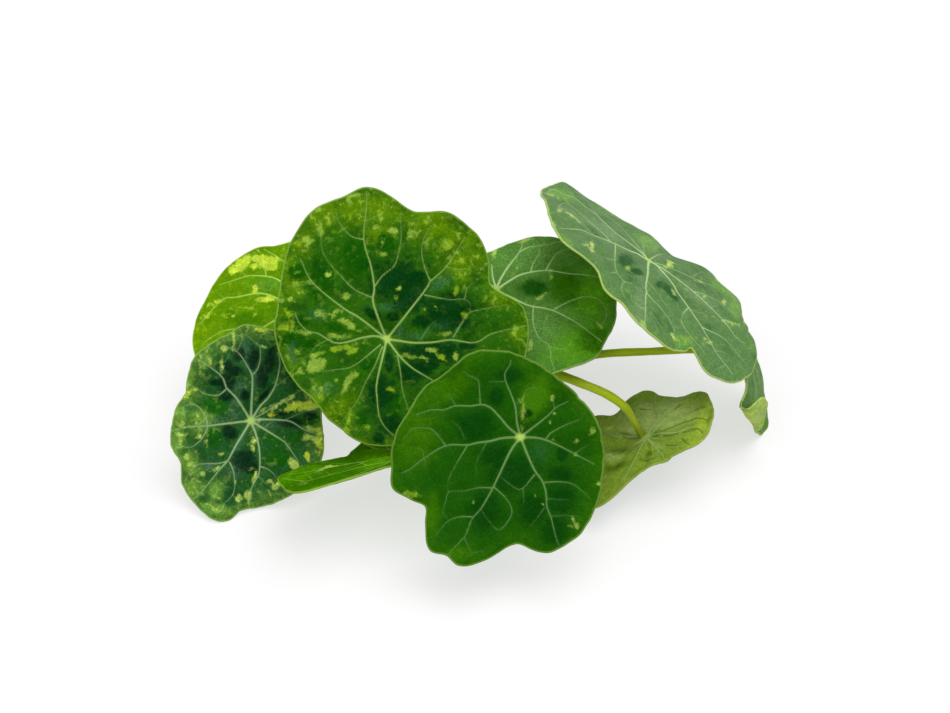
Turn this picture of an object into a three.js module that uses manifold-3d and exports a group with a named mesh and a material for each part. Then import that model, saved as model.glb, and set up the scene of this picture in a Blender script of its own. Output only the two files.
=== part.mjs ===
// Nasturtium microgreens: three cut shoots lying as one small bunch.
// Millimetres, +Z up. X runs across the bunch, Y from the front leaves back to the cut ends.
// Each blade is one thin waved plate; each shoot is its stem and petioles grown in one piece.

import * as THREE from 'three';
import { mergeVertices } from 'three/addons/utils/BufferGeometryUtils.js';
import Module from 'manifold-3d';

const wasm = await Module();
wasm.setup();

// Driving sizes
const BLADE = 0.68;                   // thickness of a leaf blade
const JOINT_GAP = 0.32;               // between a petiole's tip and the blade it carries
const NAVEL_REACH = 2.5;              // width of the dip over the petiole
const TUBE_SIDES = 10;
const TUBE_STEP = 2.2;                // length of one segment of a stem or petiole
const ORIGIN = [0.28, 32.43, -0.55];  // bottom centre of the bunch, in the coordinates below
const TRIM = 20;                      // depth of the block that flattens what lies on the surface

const rad = THREE.MathUtils.degToRad;

// Leaves
// centre: where the veins meet. lean: tilt of the upper face from level. toward: compass of that
// tilt, 0 to the front and 90 to the right. outline: [degrees, radius] round the centre.
// dish: rise of the margin. navel: depth of the dip. waves: [height, count, phase] of the margin.
// curls: [direction, start, radius, most degrees], rolled upward where the radius is positive.
const LEAVES = [
  {
    node: 'leaf_large_left', color: 0x3f7d16, rings: 9,
    centre: [-13.1, 24.9, 23.2], lean: 48, toward: 6,
    dish: 1.0, navel: 1.3, waves: [[0.5, 7, 20], [0.35, 4, 200]], curls: [],
    outline: [[8, 20.6], [21, 17.3], [33, 18.9], [45, 20.2], [60, 20.3], [74, 18.9], [91, 22.0],
      [104, 21.6], [116, 21.4], [135, 19.3], [152, 17.1], [176, 16.3], [196, 15.4], [216, 14.3],
      [238, 15.1], [254, 16.1], [270, 16.1], [286, 17.0], [302, 16.0], [320, 18.0], [336, 19.6],
      [350, 20.9]],
  },
  {
    node: 'leaf_front', color: 0x2f6a0c, rings: 9,
    centre: [6.7, 6.9, 20.3], lean: 48, toward: 0,
    dish: 0.6, navel: 1.0, waves: [[0.45, 6, 80], [0.3, 9, 10]], curls: [],
    outline: [[8, 11.0], [20, 10.4], [38, 9.7], [60, 9.7], [81, 10.7], [101, 12.2], [119, 13.7],
      [140, 14.1], [155, 15.6], [168, 16.6], [184, 18.5], [194, 19.2], [202, 19.9], [210, 18.2],
      [216, 17.1], [222, 18.6], [231, 20.9], [238, 20.1], [244, 20.6], [253, 18.6], [266, 15.5],
      [281, 17.1], [290, 16.7], [300, 16.3], [315, 14.7], [332, 13.0], [350, 11.8]],
  },
  {
    node: 'leaf_lower_left', color: 0x1f5238, rings: 8,
    centre: [-33.9, 21.2, 9.9], lean: 47, toward: 4,
    dish: 0.5, navel: 1.0, waves: [[0.5, 6, 40], [0.25, 9, 0]], curls: [],
    outline: [[12, 11.2], [35, 12.2], [60, 13.4], [79, 14.0], [91, 14.2], [99, 13.4], [115, 12.8],
      [130, 12.3], [147, 10.9], [155, 10.4], [166, 11.0], [182, 11.6], [196, 12.4], [209, 12.1],
      [221, 14.0], [238, 15.3], [250, 16.0], [256, 15.4], [262, 13.7], [272, 13.4], [290, 13.0],
      [315, 12.9], [329, 12.4], [343, 11.4], [357, 10.8]],
  },
  {
    node: 'leaf_back_left', color: 0x6fa310, rings: 7,
    centre: [-24.6, 38.7, 17.5], lean: 26, toward: -30,
    dish: 0.3, navel: 0.9, waves: [[0.3, 5, 0]], curls: [],
    outline: [[0, 11.5], [30, 12.0], [75, 12.6], [105, 12.5], [130, 12.2], [149, 12.9],
      [163, 14.9], [180, 16.8], [198, 18.2], [213, 19.5], [226, 20.2], [245, 18.5], [270, 15.0],
      [295, 12.5], [320, 11.5], [340, 11.2]],
  },
  {
    node: 'leaf_back_middle', color: 0x2f6e22, rings: 8,
    centre: [3.4, 37.9, 21.1], lean: 13, toward: 22,
    dish: -0.8, navel: 0.9, waves: [[0.3, 5, 60]], curls: [],
    outline: [[12, 16.4], [30, 15.1], [37, 14.0], [45, 12.6], [56, 10.6], [66, 8.9], [77, 7.8],
      [95, 8.5], [120, 9.3], [150, 9.9], [185, 10.0], [215, 9.6], [240, 10.8], [254, 13.4],
      [266, 16.0], [277, 16.8], [288, 17.2], [301, 18.6], [315, 18.3], [334, 18.6], [351, 17.8]],
  },
  {
    node: 'leaf_upper_right', color: 0x56894c, rings: 9,
    centre: [26.3, 39.4, 25.8], lean: 36, toward: 122,
    dish: 0, navel: 0.3, waves: [[0.3, 8, 30]], curls: [[170, -6, -45, 80]],
    outline: [[2, 21.7], [14, 20.8], [26, 20.0], [42, 19.0], [62, 17.9], [76, 18.2], [87, 18.8],
      [94, 18.0], [101, 16.1], [108, 14.9], [120, 16.3], [132, 16.3], [144, 17.1], [154, 17.3],
      [166, 17.5], [175, 17.3], [180.5, 16.8], [183.5, 19.9], [190, 21.5], [204, 23.1],
      [216, 23.0], [230, 21.0], [235, 18.8], [241, 18.7], [250, 19.2], [261, 19.9], [270, 17.6],
      [280, 17.0], [286, 13.6], [292, 12.9], [302, 13.6], [312, 14.7], [326, 14.2], [335, 14.9],
      [340, 17.4], [346, 19.6], [354, 20.2]],
  },
  {
    node: 'leaf_turned_over', color: 0x8aa653, rings: 8,
    centre: [25.8, 19.9, 6.5], lean: 152, toward: 76,
    dish: 0.4, navel: 0.7, waves: [[0.3, 6, 0]], curls: [],
    outline: [[2, 10.4], [12, 10.3], [26, 10.3], [36, 11.4], [45, 11.9], [66, 11.2], [80, 10.7],
      [95, 10.5], [106, 10.1], [113, 9.2], [118, 8.0], [127, 6.9], [142, 6.3], [160, 6.5],
      [177, 6.8], [188, 7.7], [194, 9.4], [204, 13.8], [225, 15.0], [255, 15.0], [285, 15.0],
      [303, 15.2], [311, 14.2], [317, 11.6], [324, 11.4], [331, 12.2], [343, 12.8], [352, 12.1]],
  },
  {
    node: 'leaf_low_front', color: 0x47820e, rings: 8,
    centre: [-8.1, 13.6, 10.9], lean: 34, toward: 203,
    dish: 0, navel: 0.7, waves: [], curls: [[90, 0, 58, 80], [270, 0, 36, 80]],
    outline: [[0, 21], [8, 21.2], [14, 21.4], [18.5, 19.8], [21, 14.5], [27, 10.2], [42, 8.2],
      [65, 6.4], [90, 5.4], [120, 5.5], [150, 7], [180, 9], [210, 10], [240, 10.8], [260, 11.2],
      [280, 11.6], [300, 11.8], [316, 11.8], [324, 12.1], [329, 14.8], [335, 18.6], [341, 21.3],
      [346, 21.4], [353, 20.9]],
  },
  {
    node: 'leaf_right_edge', color: 0x3c6e40, rings: 10,
    centre: [42.5, 36.9, 10.7], lean: 69, toward: 86,
    dish: 0, navel: 0.6, waves: [],
    curls: [[200, 12.2, 0.9, 160], [190, 8.5, -9, 60], [228, 4, -45, 60]],
    outline: [[0, 4.4], [45, 3.9], [90, 3.8], [130, 4.7], [150, 6.2], [160, 7.8], [168, 9.8],
      [174, 10.2], [178, 11.6], [181, 15.2], [185, 17.1], [192, 17.0], [200, 16.0], [208, 14.6],
      [215, 13.5], [224, 13.7], [235, 14.4], [245, 15.1], [251, 12.9], [262, 11.1], [274, 9.0],
      [289, 5.8], [325, 4.4]],
  },
];

// Shoots
// stem: [x, y, z, radius] from the cut end to the tip. petioles: the leaf each one carries, and
// its own points from below that leaf down into the stem.
const SHOOTS = [
  {
    node: 'shoot_left', color: 0x87a21c,
    stem: [[-19, 69, 0.45, 1.1], [-20, 58, 0.45, 1.1], [-20, 49, 0.6, 1.0], [-18.6, 42, 0.8, 0.8]],
    petioles: [
      { leaf: 'leaf_lower_left', drop: 4, tip: 0.55,
        path: [[-32, 30, 3.8, 0.6], [-26, 38, 1.4, 0.65], [-20.4, 46.5, 0.8, 0.7]] },
      { leaf: 'leaf_back_left', drop: 4, tip: 0.55,
        path: [[-22.2, 43.5, 8.2, 0.6], [-20.8, 48, 3.2, 0.65], [-20.2, 51.5, 0.8, 0.7]] },
      { leaf: 'leaf_low_front', drop: 3.2, tip: 0.5,
        path: [[-7.4, 12.4, 4.6, 0.55], [-7.9, 16, 2, 0.6], [-9.8, 23, 0.9, 0.6],
          [-13.5, 33, 0.6, 0.65], [-18.4, 42.5, 0.8, 0.7]] },
    ],
  },
  {
    node: 'shoot_middle', color: 0x8fa81e,
    stem: [[-12.5, 71, 0.5, 1.15], [-9.5, 60, 0.5, 1.15], [-6, 51, 0.6, 1.0], [-4, 43, 1.7, 0.8]],
    petioles: [
      { leaf: 'leaf_large_left', drop: 5, tip: 0.6,
        path: [[-12.2, 35, 13.6, 0.65], [-9.6, 42, 7.2, 0.7], [-6.4, 50, 1.0, 0.75]] },
      { leaf: 'leaf_back_middle', drop: 4, tip: 0.55,
        path: [[0.8, 44, 10, 0.6], [-3, 49.5, 3.2, 0.65], [-6.8, 54, 0.8, 0.7]] },
      { leaf: 'leaf_front', drop: 5, tip: 0.6,
        path: [[5.5, 20, 10, 0.6], [3, 28, 5.6, 0.65], [-1, 37, 2.8, 0.7],
          [-4.3, 45, 1.4, 0.75]] },
    ],
  },
  {
    node: 'shoot_right', color: 0x93ab1f,
    stem: [[-5, 70, 0.5, 1.15], [0.5, 60, 0.5, 1.15], [4.5, 50, 1.5, 1.05], [7.5, 42, 5.2, 0.95],
      [9, 36, 8.8, 0.85], [9.6, 31.6, 11, 0.78]],
    petioles: [
      { leaf: 'leaf_upper_right', drop: 3.4, tip: 0.6,
        path: [[22.2, 41.2, 17.4, 0.65], [17.5, 43.4, 12.4, 0.65], [10.5, 46, 6.2, 0.7],
          [4.7, 51, 1.4, 0.75]] },
      { leaf: 'leaf_right_edge', drop: 3, tip: 0.5,
        path: [[34, 35.2, 11.4, 0.6], [27, 33.9, 12.2, 0.6], [19.2, 32.7, 12.7, 0.62],
          [9.4, 32, 10.8, 0.7]] },
      { leaf: 'leaf_turned_over', drop: 2.4, tip: 0.5,
        path: [[22.7, 23.2, 10.4, 0.66], [20.2, 25.2, 11.1, 0.68], [16, 27.5, 11.5, 0.7],
          [12.5, 29.6, 11.4, 0.72], [9.5, 32, 10.8, 0.75]] },
    ],
  },
];

// Radius of an outline at an angle: a smooth closed curve through its points
function outlineRadius(outline, degrees) {
  const n = outline.length;
  let a = ((degrees % 360) + 360) % 360;
  if (a < outline[0][0]) a += 360;
  let i = n - 1;
  while (i > 0 && outline[i][0] > a) i -= 1;
  const at = (k) => {
    const turn = Math.floor(k / n);
    const point = outline[k - turn * n];
    return [point[0] + 360 * turn, point[1]];
  };
  const [before, from, to, after] = [at(i - 1), at(i), at(i + 1), at(i + 2)];
  const span = to[0] - from[0];
  const t = (a - from[0]) / span;
  const slopeFrom = (to[1] - before[1]) / (to[0] - before[0]);
  const slopeTo = (after[1] - from[1]) / (after[0] - from[0]);
  return (2 * t ** 3 - 3 * t ** 2 + 1) * from[1] + (t ** 3 - 2 * t ** 2 + t) * span * slopeFrom
    + (3 * t ** 2 - 2 * t ** 3) * to[1] + (t ** 3 - t ** 2) * span * slopeTo;
}

// Height of the upper face over the leaf's flat plan
function bladeHeight(leaf, u, v) {
  const r = Math.hypot(u, v);
  const degrees = THREE.MathUtils.radToDeg(Math.atan2(v, u));
  const s = r / outlineRadius(leaf.outline, degrees);
  let h = leaf.dish * s * s - leaf.navel * Math.exp(-((r / NAVEL_REACH) ** 2));
  for (const [height, count, phase] of leaf.waves) {
    h += height * s ** 3 * Math.sin(rad(count * degrees + phase));
  }
  return h;
}

// Rolls what lies beyond a line across the blade, keeping its length
function rollUp([u, v, w], [degrees, start, radius, most]) {
  const c = Math.cos(rad(degrees));
  const s = Math.sin(rad(degrees));
  const along = u * c + v * s;
  const across = v * c - u * s;
  if (along <= start) return [u, v, w];
  const side = Math.sign(radius);
  const reach = Math.abs(radius);
  const turn = Math.min((along - start) / reach, rad(most));
  const rest = along - start - turn * reach;
  const arm = reach - w * side;
  const q = start + arm * Math.sin(turn) + rest * Math.cos(turn);
  const h = reach - arm * Math.cos(turn) + rest * Math.sin(turn);
  return [q * c - across * s, q * s + across * c, h * side];
}

// Axes of a leaf: across, up its face, and out of its upper face
function leafAxes(leaf) {
  const l = rad(leaf.lean);
  const t = rad(leaf.toward);
  const out = new THREE.Vector3(Math.sin(l) * Math.sin(t), -Math.sin(l) * Math.cos(t), Math.cos(l));
  const across = new THREE.Vector3(Math.cos(t), Math.sin(t), 0);
  return [across, new THREE.Vector3().crossVectors(out, across), out];
}

// A point of the blade, w millimetres above its upper face
function bladePoint(leaf, u, v, w) {
  let p = [u, v, bladeHeight(leaf, u, v) + w];
  for (const curl of leaf.curls) p = rollUp(p, curl);
  const [across, up, out] = leafAxes(leaf);
  return new THREE.Vector3(...leaf.centre).addScaledVector(across, p[0])
    .addScaledVector(up, p[1]).addScaledVector(out, p[2]);
}

// Flat plan of a blade: rings of 6, 12, 18 ... points scaled to the outline
function bladePlan(leaf) {
  const points = [[0, 0]];
  const triangles = [];
  const first = (ring) => (ring === 0 ? 0 : 1 + 3 * ring * (ring - 1));
  const index = (ring, k) => (ring === 0 ? 0 : first(ring) + (k % (6 * ring)));
  for (let ring = 1; ring <= leaf.rings; ring += 1) {
    for (let k = 0; k < 6 * ring; k += 1) {
      const degrees = (60 * k) / ring;
      const r = (outlineRadius(leaf.outline, degrees) * ring) / leaf.rings;
      points.push([r * Math.cos(rad(degrees)), r * Math.sin(rad(degrees))]);
    }
    for (let side = 0; side < 6; side += 1) {
      for (let k = 0; k < ring; k += 1) {
        const outer = side * ring + k;
        const inner = side * (ring - 1) + k;
        triangles.push([index(ring - 1, inner), index(ring, outer), index(ring, outer + 1)]);
        if (k < ring - 1) {
          triangles.push([index(ring - 1, inner), index(ring, outer + 1),
            index(ring - 1, inner + 1)]);
        }
      }
    }
  }
  return { points, triangles, rim: first(leaf.rings), rimCount: 6 * leaf.rings };
}

// A blade as one closed plate, split alike on both faces
function bladeGeometry(leaf) {
  const { points, triangles, rim, rimCount } = bladePlan(leaf);
  const n = points.length;
  const positions = [];
  for (const w of [0, -BLADE]) {
    for (const [u, v] of points) positions.push(...bladePoint(leaf, u, v, w).toArray());
  }
  const index = [];
  for (const [a, b, c] of triangles) index.push(a, b, c, n + a, n + c, n + b);
  for (let k = 0; k < rimCount; k += 1) {
    const a = rim + k;
    const b = rim + ((k + 1) % rimCount);
    index.push(a, n + a, n + b, a, n + b, b);
  }
  return closedGeometry(positions, index);
}

function closedGeometry(positions, index) {
  const geometry = new THREE.BufferGeometry();
  geometry.setAttribute('position', new THREE.Float32BufferAttribute(positions, 3));
  geometry.setIndex(index);
  return geometry;
}

// A tapering round tube through [x, y, z, radius] points, closed at both ends
function tubeGeometry(path) {
  const curve = new THREE.CatmullRomCurve3(path.map((p) => new THREE.Vector3(p[0], p[1], p[2])));
  const steps = Math.max(3, Math.round(curve.getLength() / TUBE_STEP));
  const frames = curve.computeFrenetFrames(steps, false);
  const positions = [];
  const index = [];
  for (let i = 0; i <= steps; i += 1) {
    const t = curve.getUtoTmapping(i / steps);
    const at = t * (path.length - 1);
    const k = Math.min(Math.floor(at), path.length - 2);
    const radius = THREE.MathUtils.lerp(path[k][3], path[k + 1][3], at - k);
    const middle = curve.getPoint(t);
    for (let side = 0; side < TUBE_SIDES; side += 1) {
      const turn = (2 * Math.PI * (side + 0.5)) / TUBE_SIDES;
      positions.push(...middle.clone()
        .addScaledVector(frames.normals[i], radius * Math.cos(turn))
        .addScaledVector(frames.binormals[i], radius * Math.sin(turn)).toArray());
    }
    for (let side = 0; i > 0 && side < TUBE_SIDES; side += 1) {
      const a = (i - 1) * TUBE_SIDES + side;
      const b = (i - 1) * TUBE_SIDES + ((side + 1) % TUBE_SIDES);
      index.push(a, b, b + TUBE_SIDES, a, b + TUBE_SIDES, a + TUBE_SIDES);
    }
  }
  const last = steps * TUBE_SIDES;
  for (let side = 1; side < TUBE_SIDES - 1; side += 1) {
    index.push(0, side + 1, side, last, last + side, last + side + 1);
  }
  return closedGeometry(positions, index);
}

// Joining and cutting
function toSolid(geometry) {
  const plain = geometry.clone();
  plain.deleteAttribute('normal');
  plain.deleteAttribute('uv');
  const merged = mergeVertices(plain, 1e-5);
  return new wasm.Manifold(new wasm.Mesh({
    numProp: 3,
    vertProperties: new Float32Array(merged.attributes.position.array),
    triVerts: new Uint32Array(merged.index.array),
  }));
}

function toGeometry(solid) {
  const mesh = solid.getMesh();
  return closedGeometry(Array.from(mesh.vertProperties), Array.from(mesh.triVerts));
}

// The block under the surface, taken away from whatever presses on it
function groundBlock() {
  const block = new THREE.BoxGeometry(200, 200, TRIM);
  block.translate(ORIGIN[0], ORIGIN[1], ORIGIN[2] - TRIM / 2);
  return toSolid(block);
}

// A petiole: from just under its blade, square to it at first, then along its own path
function petioleGeometry({ leaf, drop, tip, path }) {
  const blade = LEAVES.find(({ node }) => node === leaf);
  const under = -BLADE - JOINT_GAP;
  const start = bladePoint(blade, 0, 0, under).toArray();
  const below = bladePoint(blade, 0, 0, under - drop).toArray();
  return tubeGeometry([[...start, tip], [...below, tip], ...path]);
}

function shootGeometry(shoot, ground) {
  let solid = toSolid(tubeGeometry(shoot.stem));
  for (const petiole of shoot.petioles) solid = solid.add(toSolid(petioleGeometry(petiole)));
  return toGeometry(solid.subtract(ground));
}

// The bunch
const bunch = new THREE.Group();
bunch.position.set(-ORIGIN[0], -ORIGIN[1], -ORIGIN[2]);

function addPiece(node, geometry, color, roughness) {
  const material = new THREE.MeshStandardMaterial({ color, roughness, metalness: 0 });
  const mesh = new THREE.Mesh(geometry, material);
  mesh.name = node;
  bunch.add(mesh);
}

const ground = groundBlock();
for (const shoot of SHOOTS) {
  addPiece(shoot.node, shootGeometry(shoot, ground), shoot.color, 0.45);
}
for (const leaf of LEAVES) {
  const blade = toSolid(bladeGeometry(leaf)).subtract(ground);
  addPiece(leaf.node, toGeometry(blade), leaf.color, 0.5);
}

export default bunch;
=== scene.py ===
import math
import random

import bpy
import numpy as np
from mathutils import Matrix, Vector


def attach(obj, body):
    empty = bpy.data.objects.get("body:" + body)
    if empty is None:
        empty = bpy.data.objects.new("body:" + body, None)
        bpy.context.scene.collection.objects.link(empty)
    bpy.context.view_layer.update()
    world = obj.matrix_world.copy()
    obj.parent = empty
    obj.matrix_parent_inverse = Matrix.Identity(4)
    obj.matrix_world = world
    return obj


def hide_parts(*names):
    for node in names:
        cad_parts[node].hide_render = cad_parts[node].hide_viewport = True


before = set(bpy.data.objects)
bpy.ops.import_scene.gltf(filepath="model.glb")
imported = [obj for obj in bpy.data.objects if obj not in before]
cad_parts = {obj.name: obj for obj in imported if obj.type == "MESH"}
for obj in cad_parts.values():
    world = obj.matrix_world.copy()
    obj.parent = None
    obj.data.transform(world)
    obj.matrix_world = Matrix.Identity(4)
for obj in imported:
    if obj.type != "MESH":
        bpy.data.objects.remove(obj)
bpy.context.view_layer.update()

# Sizes in millimetres
MM = 0.001
ORIGIN = np.array([0.28, 32.43, -0.55])   # bottom centre of the bunch in the coordinates below
NAVEL_REACH = 2.5                         # width of the dip over the petiole
BLADE_MIDDLE = 0.60                       # thickness of a blade over its petiole
BLADE_RIM = 0.30                          # and at its margin
RIM_SWELL = 0.07                          # how far the margin is rounded outwards
FACES_APART = 0.3                         # and how thick it stays where it lies on the floor
FACE_STEP = 0.17                          # size of the triangles on the face that shows
EDGE_RIPPLES = (13, 19, 29, 41, 58)       # how many small ins and outs go round a margin
WAVE_RIPPLES = (9, 14, 23)                # and how many small waves
WAVE_HEIGHT = 1.1
QUILT = 0.20                              # how far the blade swells between its veins
QUILT_REACH = 1.5                         # and how far from a vein it has swollen in full
MARGIN_REACH = 1.2                        # how near the margin the swelling fades
RIDGE = 0.11                              # how far the veins stand out under a blade
RIDGE_REACH = 0.35                        # and how wide such a ridge is beside the vein
CREASE_DEPTH = 0.12                       # how far the creases sink into an underside
CREASE_REACH = 0.5                        # and how wide they are
FAR = 3.0                                 # distances from a vein are told up to here
MIDDLE_REACH = 5                          # a main vein that starts this near joins the others
VEIN_STEP = 0.5                           # length of one straight bit of a vein
TUBE_STEP = 0.3                           # and of a stem
TUBE_SIDES = 18
TUBE_RIDGES = ((0.02, 5, 0), (0.012, 8, 1))   # (share of the radius, how many round, phase)
TUBE_SWELLS = ((0.025, 0.9), (0.015, 2.3))    # (share of the radius, radians per millimetre)
PETIOLE_SINK = 0.7                        # share of a blade's thickness that its petiole goes in
PETIOLE_FLARE = 1.25                      # and how much wider it is there
KNOT_SWELL = 0.16                         # how much thicker a stem is where a petiole leaves it
KNOT_REACH = 1.6
CUT_REACH = 1.6                           # how near a cut end the skin can be of cut tissue
CUT_EDGE = 0.06
CUT_END = ((0.93, 0.05), (0.78, 0.07), (0.45, 0.02), (0.15, -0.03))   # (share of radius, height)

# Ranks of vein: main, branch, fine, and a crease of the underside
MAIN, BRANCH, FINE, CREASE = 1, 2, 3, 4
VEIN_WIDTHS = {MAIN: (0.19, 0.07), BRANCH: (0.11, 0.05), FINE: (0.07, 0.04), CREASE: (0.05, 0.02)}
VEIN_WEIGHTS = {MAIN: 1.0, BRANCH: 0.8, FINE: 0.6, CREASE: 0.0}

# The camera of the photograph
PHOTO = (950, 713)
CAMERA = np.array([0.0, -223.366, 242.8])
ELEVATION = math.radians(42)
LENS = 85
SENSOR = 36
FOCAL = LENS / SENSOR * PHOTO[0]
PIXELS_PER_MM = 6.8
PATCH_SWELL = 1.2                         # ragged borders eat into a patch, so its oval is larger

# Leaves, with the same sizes as the CAD
# centre: where the veins meet. lean: tilt of the upper face from level. toward: compass of that
# tilt. outline: (degrees, radius). dish: rise of the margin. navel: depth of the dip.
# waves: (height, count, phase) of the margin. curls: (direction, start, radius, most degrees).
LEAVES = {
    "leaf_large_left": dict(
        centre=(-13.1, 24.9, 23.2), lean=48, toward=6, dish=1.0, navel=1.3,
        waves=[(0.5, 7, 20), (0.35, 4, 200)], curls=[],
        outline=[(8, 20.6), (21, 17.3), (33, 18.9), (45, 20.2), (60, 20.3), (74, 18.9),
                 (91, 22.0), (104, 21.6), (116, 21.4), (135, 19.3), (152, 17.1), (176, 16.3),
                 (196, 15.4), (216, 14.3), (238, 15.1), (254, 16.1), (270, 16.1), (286, 17.0),
                 (302, 16.0), (320, 18.0), (336, 19.6), (350, 20.9)]),
    "leaf_front": dict(
        centre=(6.7, 6.9, 20.3), lean=48, toward=0, dish=0.6, navel=1.0,
        waves=[(0.45, 6, 80), (0.3, 9, 10)], curls=[],
        outline=[(8, 11.0), (20, 10.4), (38, 9.7), (60, 9.7), (81, 10.7), (101, 12.2), (119, 13.7),
                 (140, 14.1), (155, 15.6), (168, 16.6), (184, 18.5), (194, 19.2), (202, 19.9),
                 (210, 18.2), (216, 17.1), (222, 18.6), (231, 20.9), (238, 20.1), (244, 20.6),
                 (253, 18.6), (266, 15.5), (281, 17.1), (290, 16.7), (300, 16.3), (315, 14.7),
                 (332, 13.0), (350, 11.8)]),
    "leaf_lower_left": dict(
        centre=(-33.9, 21.2, 9.9), lean=47, toward=4, dish=0.5, navel=1.0,
        waves=[(0.5, 6, 40), (0.25, 9, 0)], curls=[],
        outline=[(12, 11.2), (35, 12.2), (60, 13.4), (79, 14.0), (91, 14.2), (99, 13.4),
                 (115, 12.8), (130, 12.3), (147, 10.9), (155, 10.4), (166, 11.0), (182, 11.6),
                 (196, 12.4), (209, 12.1), (221, 14.0), (238, 15.3), (250, 16.0), (256, 15.4),
                 (262, 13.7), (272, 13.4), (290, 13.0), (315, 12.9), (329, 12.4), (343, 11.4),
                 (357, 10.8)]),
    "leaf_back_left": dict(
        centre=(-24.6, 38.7, 17.5), lean=26, toward=-30, dish=0.3, navel=0.9,
        waves=[(0.3, 5, 0)], curls=[],
        outline=[(0, 11.5), (30, 12.0), (75, 12.6), (105, 12.5), (130, 12.2), (149, 12.9),
                 (163, 14.9), (180, 16.8), (198, 18.2), (213, 19.5), (226, 20.2), (245, 18.5),
                 (270, 15.0), (295, 12.5), (320, 11.5), (340, 11.2)]),
    "leaf_back_middle": dict(
        centre=(3.4, 37.9, 21.1), lean=13, toward=22, dish=-0.8, navel=0.9,
        waves=[(0.3, 5, 60)], curls=[],
        outline=[(12, 16.4), (30, 15.1), (37, 14.0), (45, 12.6), (56, 10.6), (66, 8.9),
                 (77, 7.8), (95, 8.5), (120, 9.3), (150, 9.9), (185, 10.0), (215, 9.6),
                 (240, 10.8), (254, 13.4), (266, 16.0), (277, 16.8), (288, 17.2), (301, 18.6),
                 (315, 18.3), (334, 18.6), (351, 17.8)]),
    "leaf_upper_right": dict(
        centre=(26.3, 39.4, 25.8), lean=36, toward=122, dish=0, navel=0.3,
        waves=[(0.3, 8, 30)], curls=[(170, -6, -45, 80)], vein_factor=1.15,
        outline=[(2, 21.7), (14, 20.8), (26, 20.0), (42, 19.0), (62, 17.9), (76, 18.2),
                 (87, 18.8), (94, 18.0), (101, 16.1), (108, 14.9), (120, 16.3), (132, 16.3),
                 (144, 17.1), (154, 17.3), (166, 17.5), (175, 17.3), (180.5, 16.8),
                 (183.5, 19.9), (190, 21.5), (204, 23.1), (216, 23.0), (230, 21.0), (235, 18.8),
                 (241, 18.7), (250, 19.2), (261, 19.9), (270, 17.6), (280, 17.0), (286, 13.6),
                 (292, 12.9), (302, 13.6), (312, 14.7), (326, 14.2), (335, 14.9), (340, 17.4),
                 (346, 19.6), (354, 20.2)]),
    "leaf_turned_over": dict(
        centre=(25.8, 19.9, 6.5), lean=152, toward=76, dish=0.4, navel=0.7,
        waves=[(0.3, 6, 0)], curls=[], underside=True, quilt=0.34,
        outline=[(2, 10.4), (12, 10.3), (26, 10.3), (36, 11.4), (45, 11.9), (66, 11.2),
                 (80, 10.7), (95, 10.5), (106, 10.1), (113, 9.2), (118, 8.0), (127, 6.9),
                 (142, 6.3), (160, 6.5), (177, 6.8), (188, 7.7), (194, 9.4), (204, 13.8),
                 (225, 15.0), (255, 15.0), (285, 15.0), (303, 15.2), (311, 14.2), (317, 11.6),
                 (324, 11.4), (331, 12.2), (343, 12.8), (352, 12.1)]),
    "leaf_low_front": dict(
        centre=(-8.1, 13.6, 10.9), lean=34, toward=203, dish=0, navel=0.7,
        waves=[], curls=[(90, 0, 58, 80), (270, 0, 36, 80)],
        outline=[(0, 21), (8, 21.2), (14, 21.4), (18.5, 19.8), (21, 14.5), (27, 10.2),
                 (42, 8.2), (65, 6.4), (90, 5.4), (120, 5.5), (150, 7), (180, 9), (210, 10),
                 (240, 10.8), (260, 11.2), (280, 11.6), (300, 11.8), (316, 11.8), (324, 12.1),
                 (329, 14.8), (335, 18.6), (341, 21.3), (346, 21.4), (353, 20.9)]),
    "leaf_right_edge": dict(
        centre=(42.5, 36.9, 10.7), lean=69, toward=86, dish=0, navel=0.6,
        waves=[], curls=[(200, 12.2, 0.9, 160), (190, 8.5, -9, 60), (228, 4, -45, 60)],
        outline=[(0, 4.4), (45, 3.9), (90, 3.8), (130, 4.7), (150, 6.2), (160, 7.8), (168, 9.8),
                 (174, 10.2), (178, 11.6), (181, 15.2), (185, 17.1), (192, 17.0), (200, 16.0),
                 (208, 14.6), (215, 13.5), (224, 13.7), (235, 14.4), (245, 15.1), (251, 12.9),
                 (262, 11.1), (274, 9.0), (289, 5.8), (325, 4.4)]),
}

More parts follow.
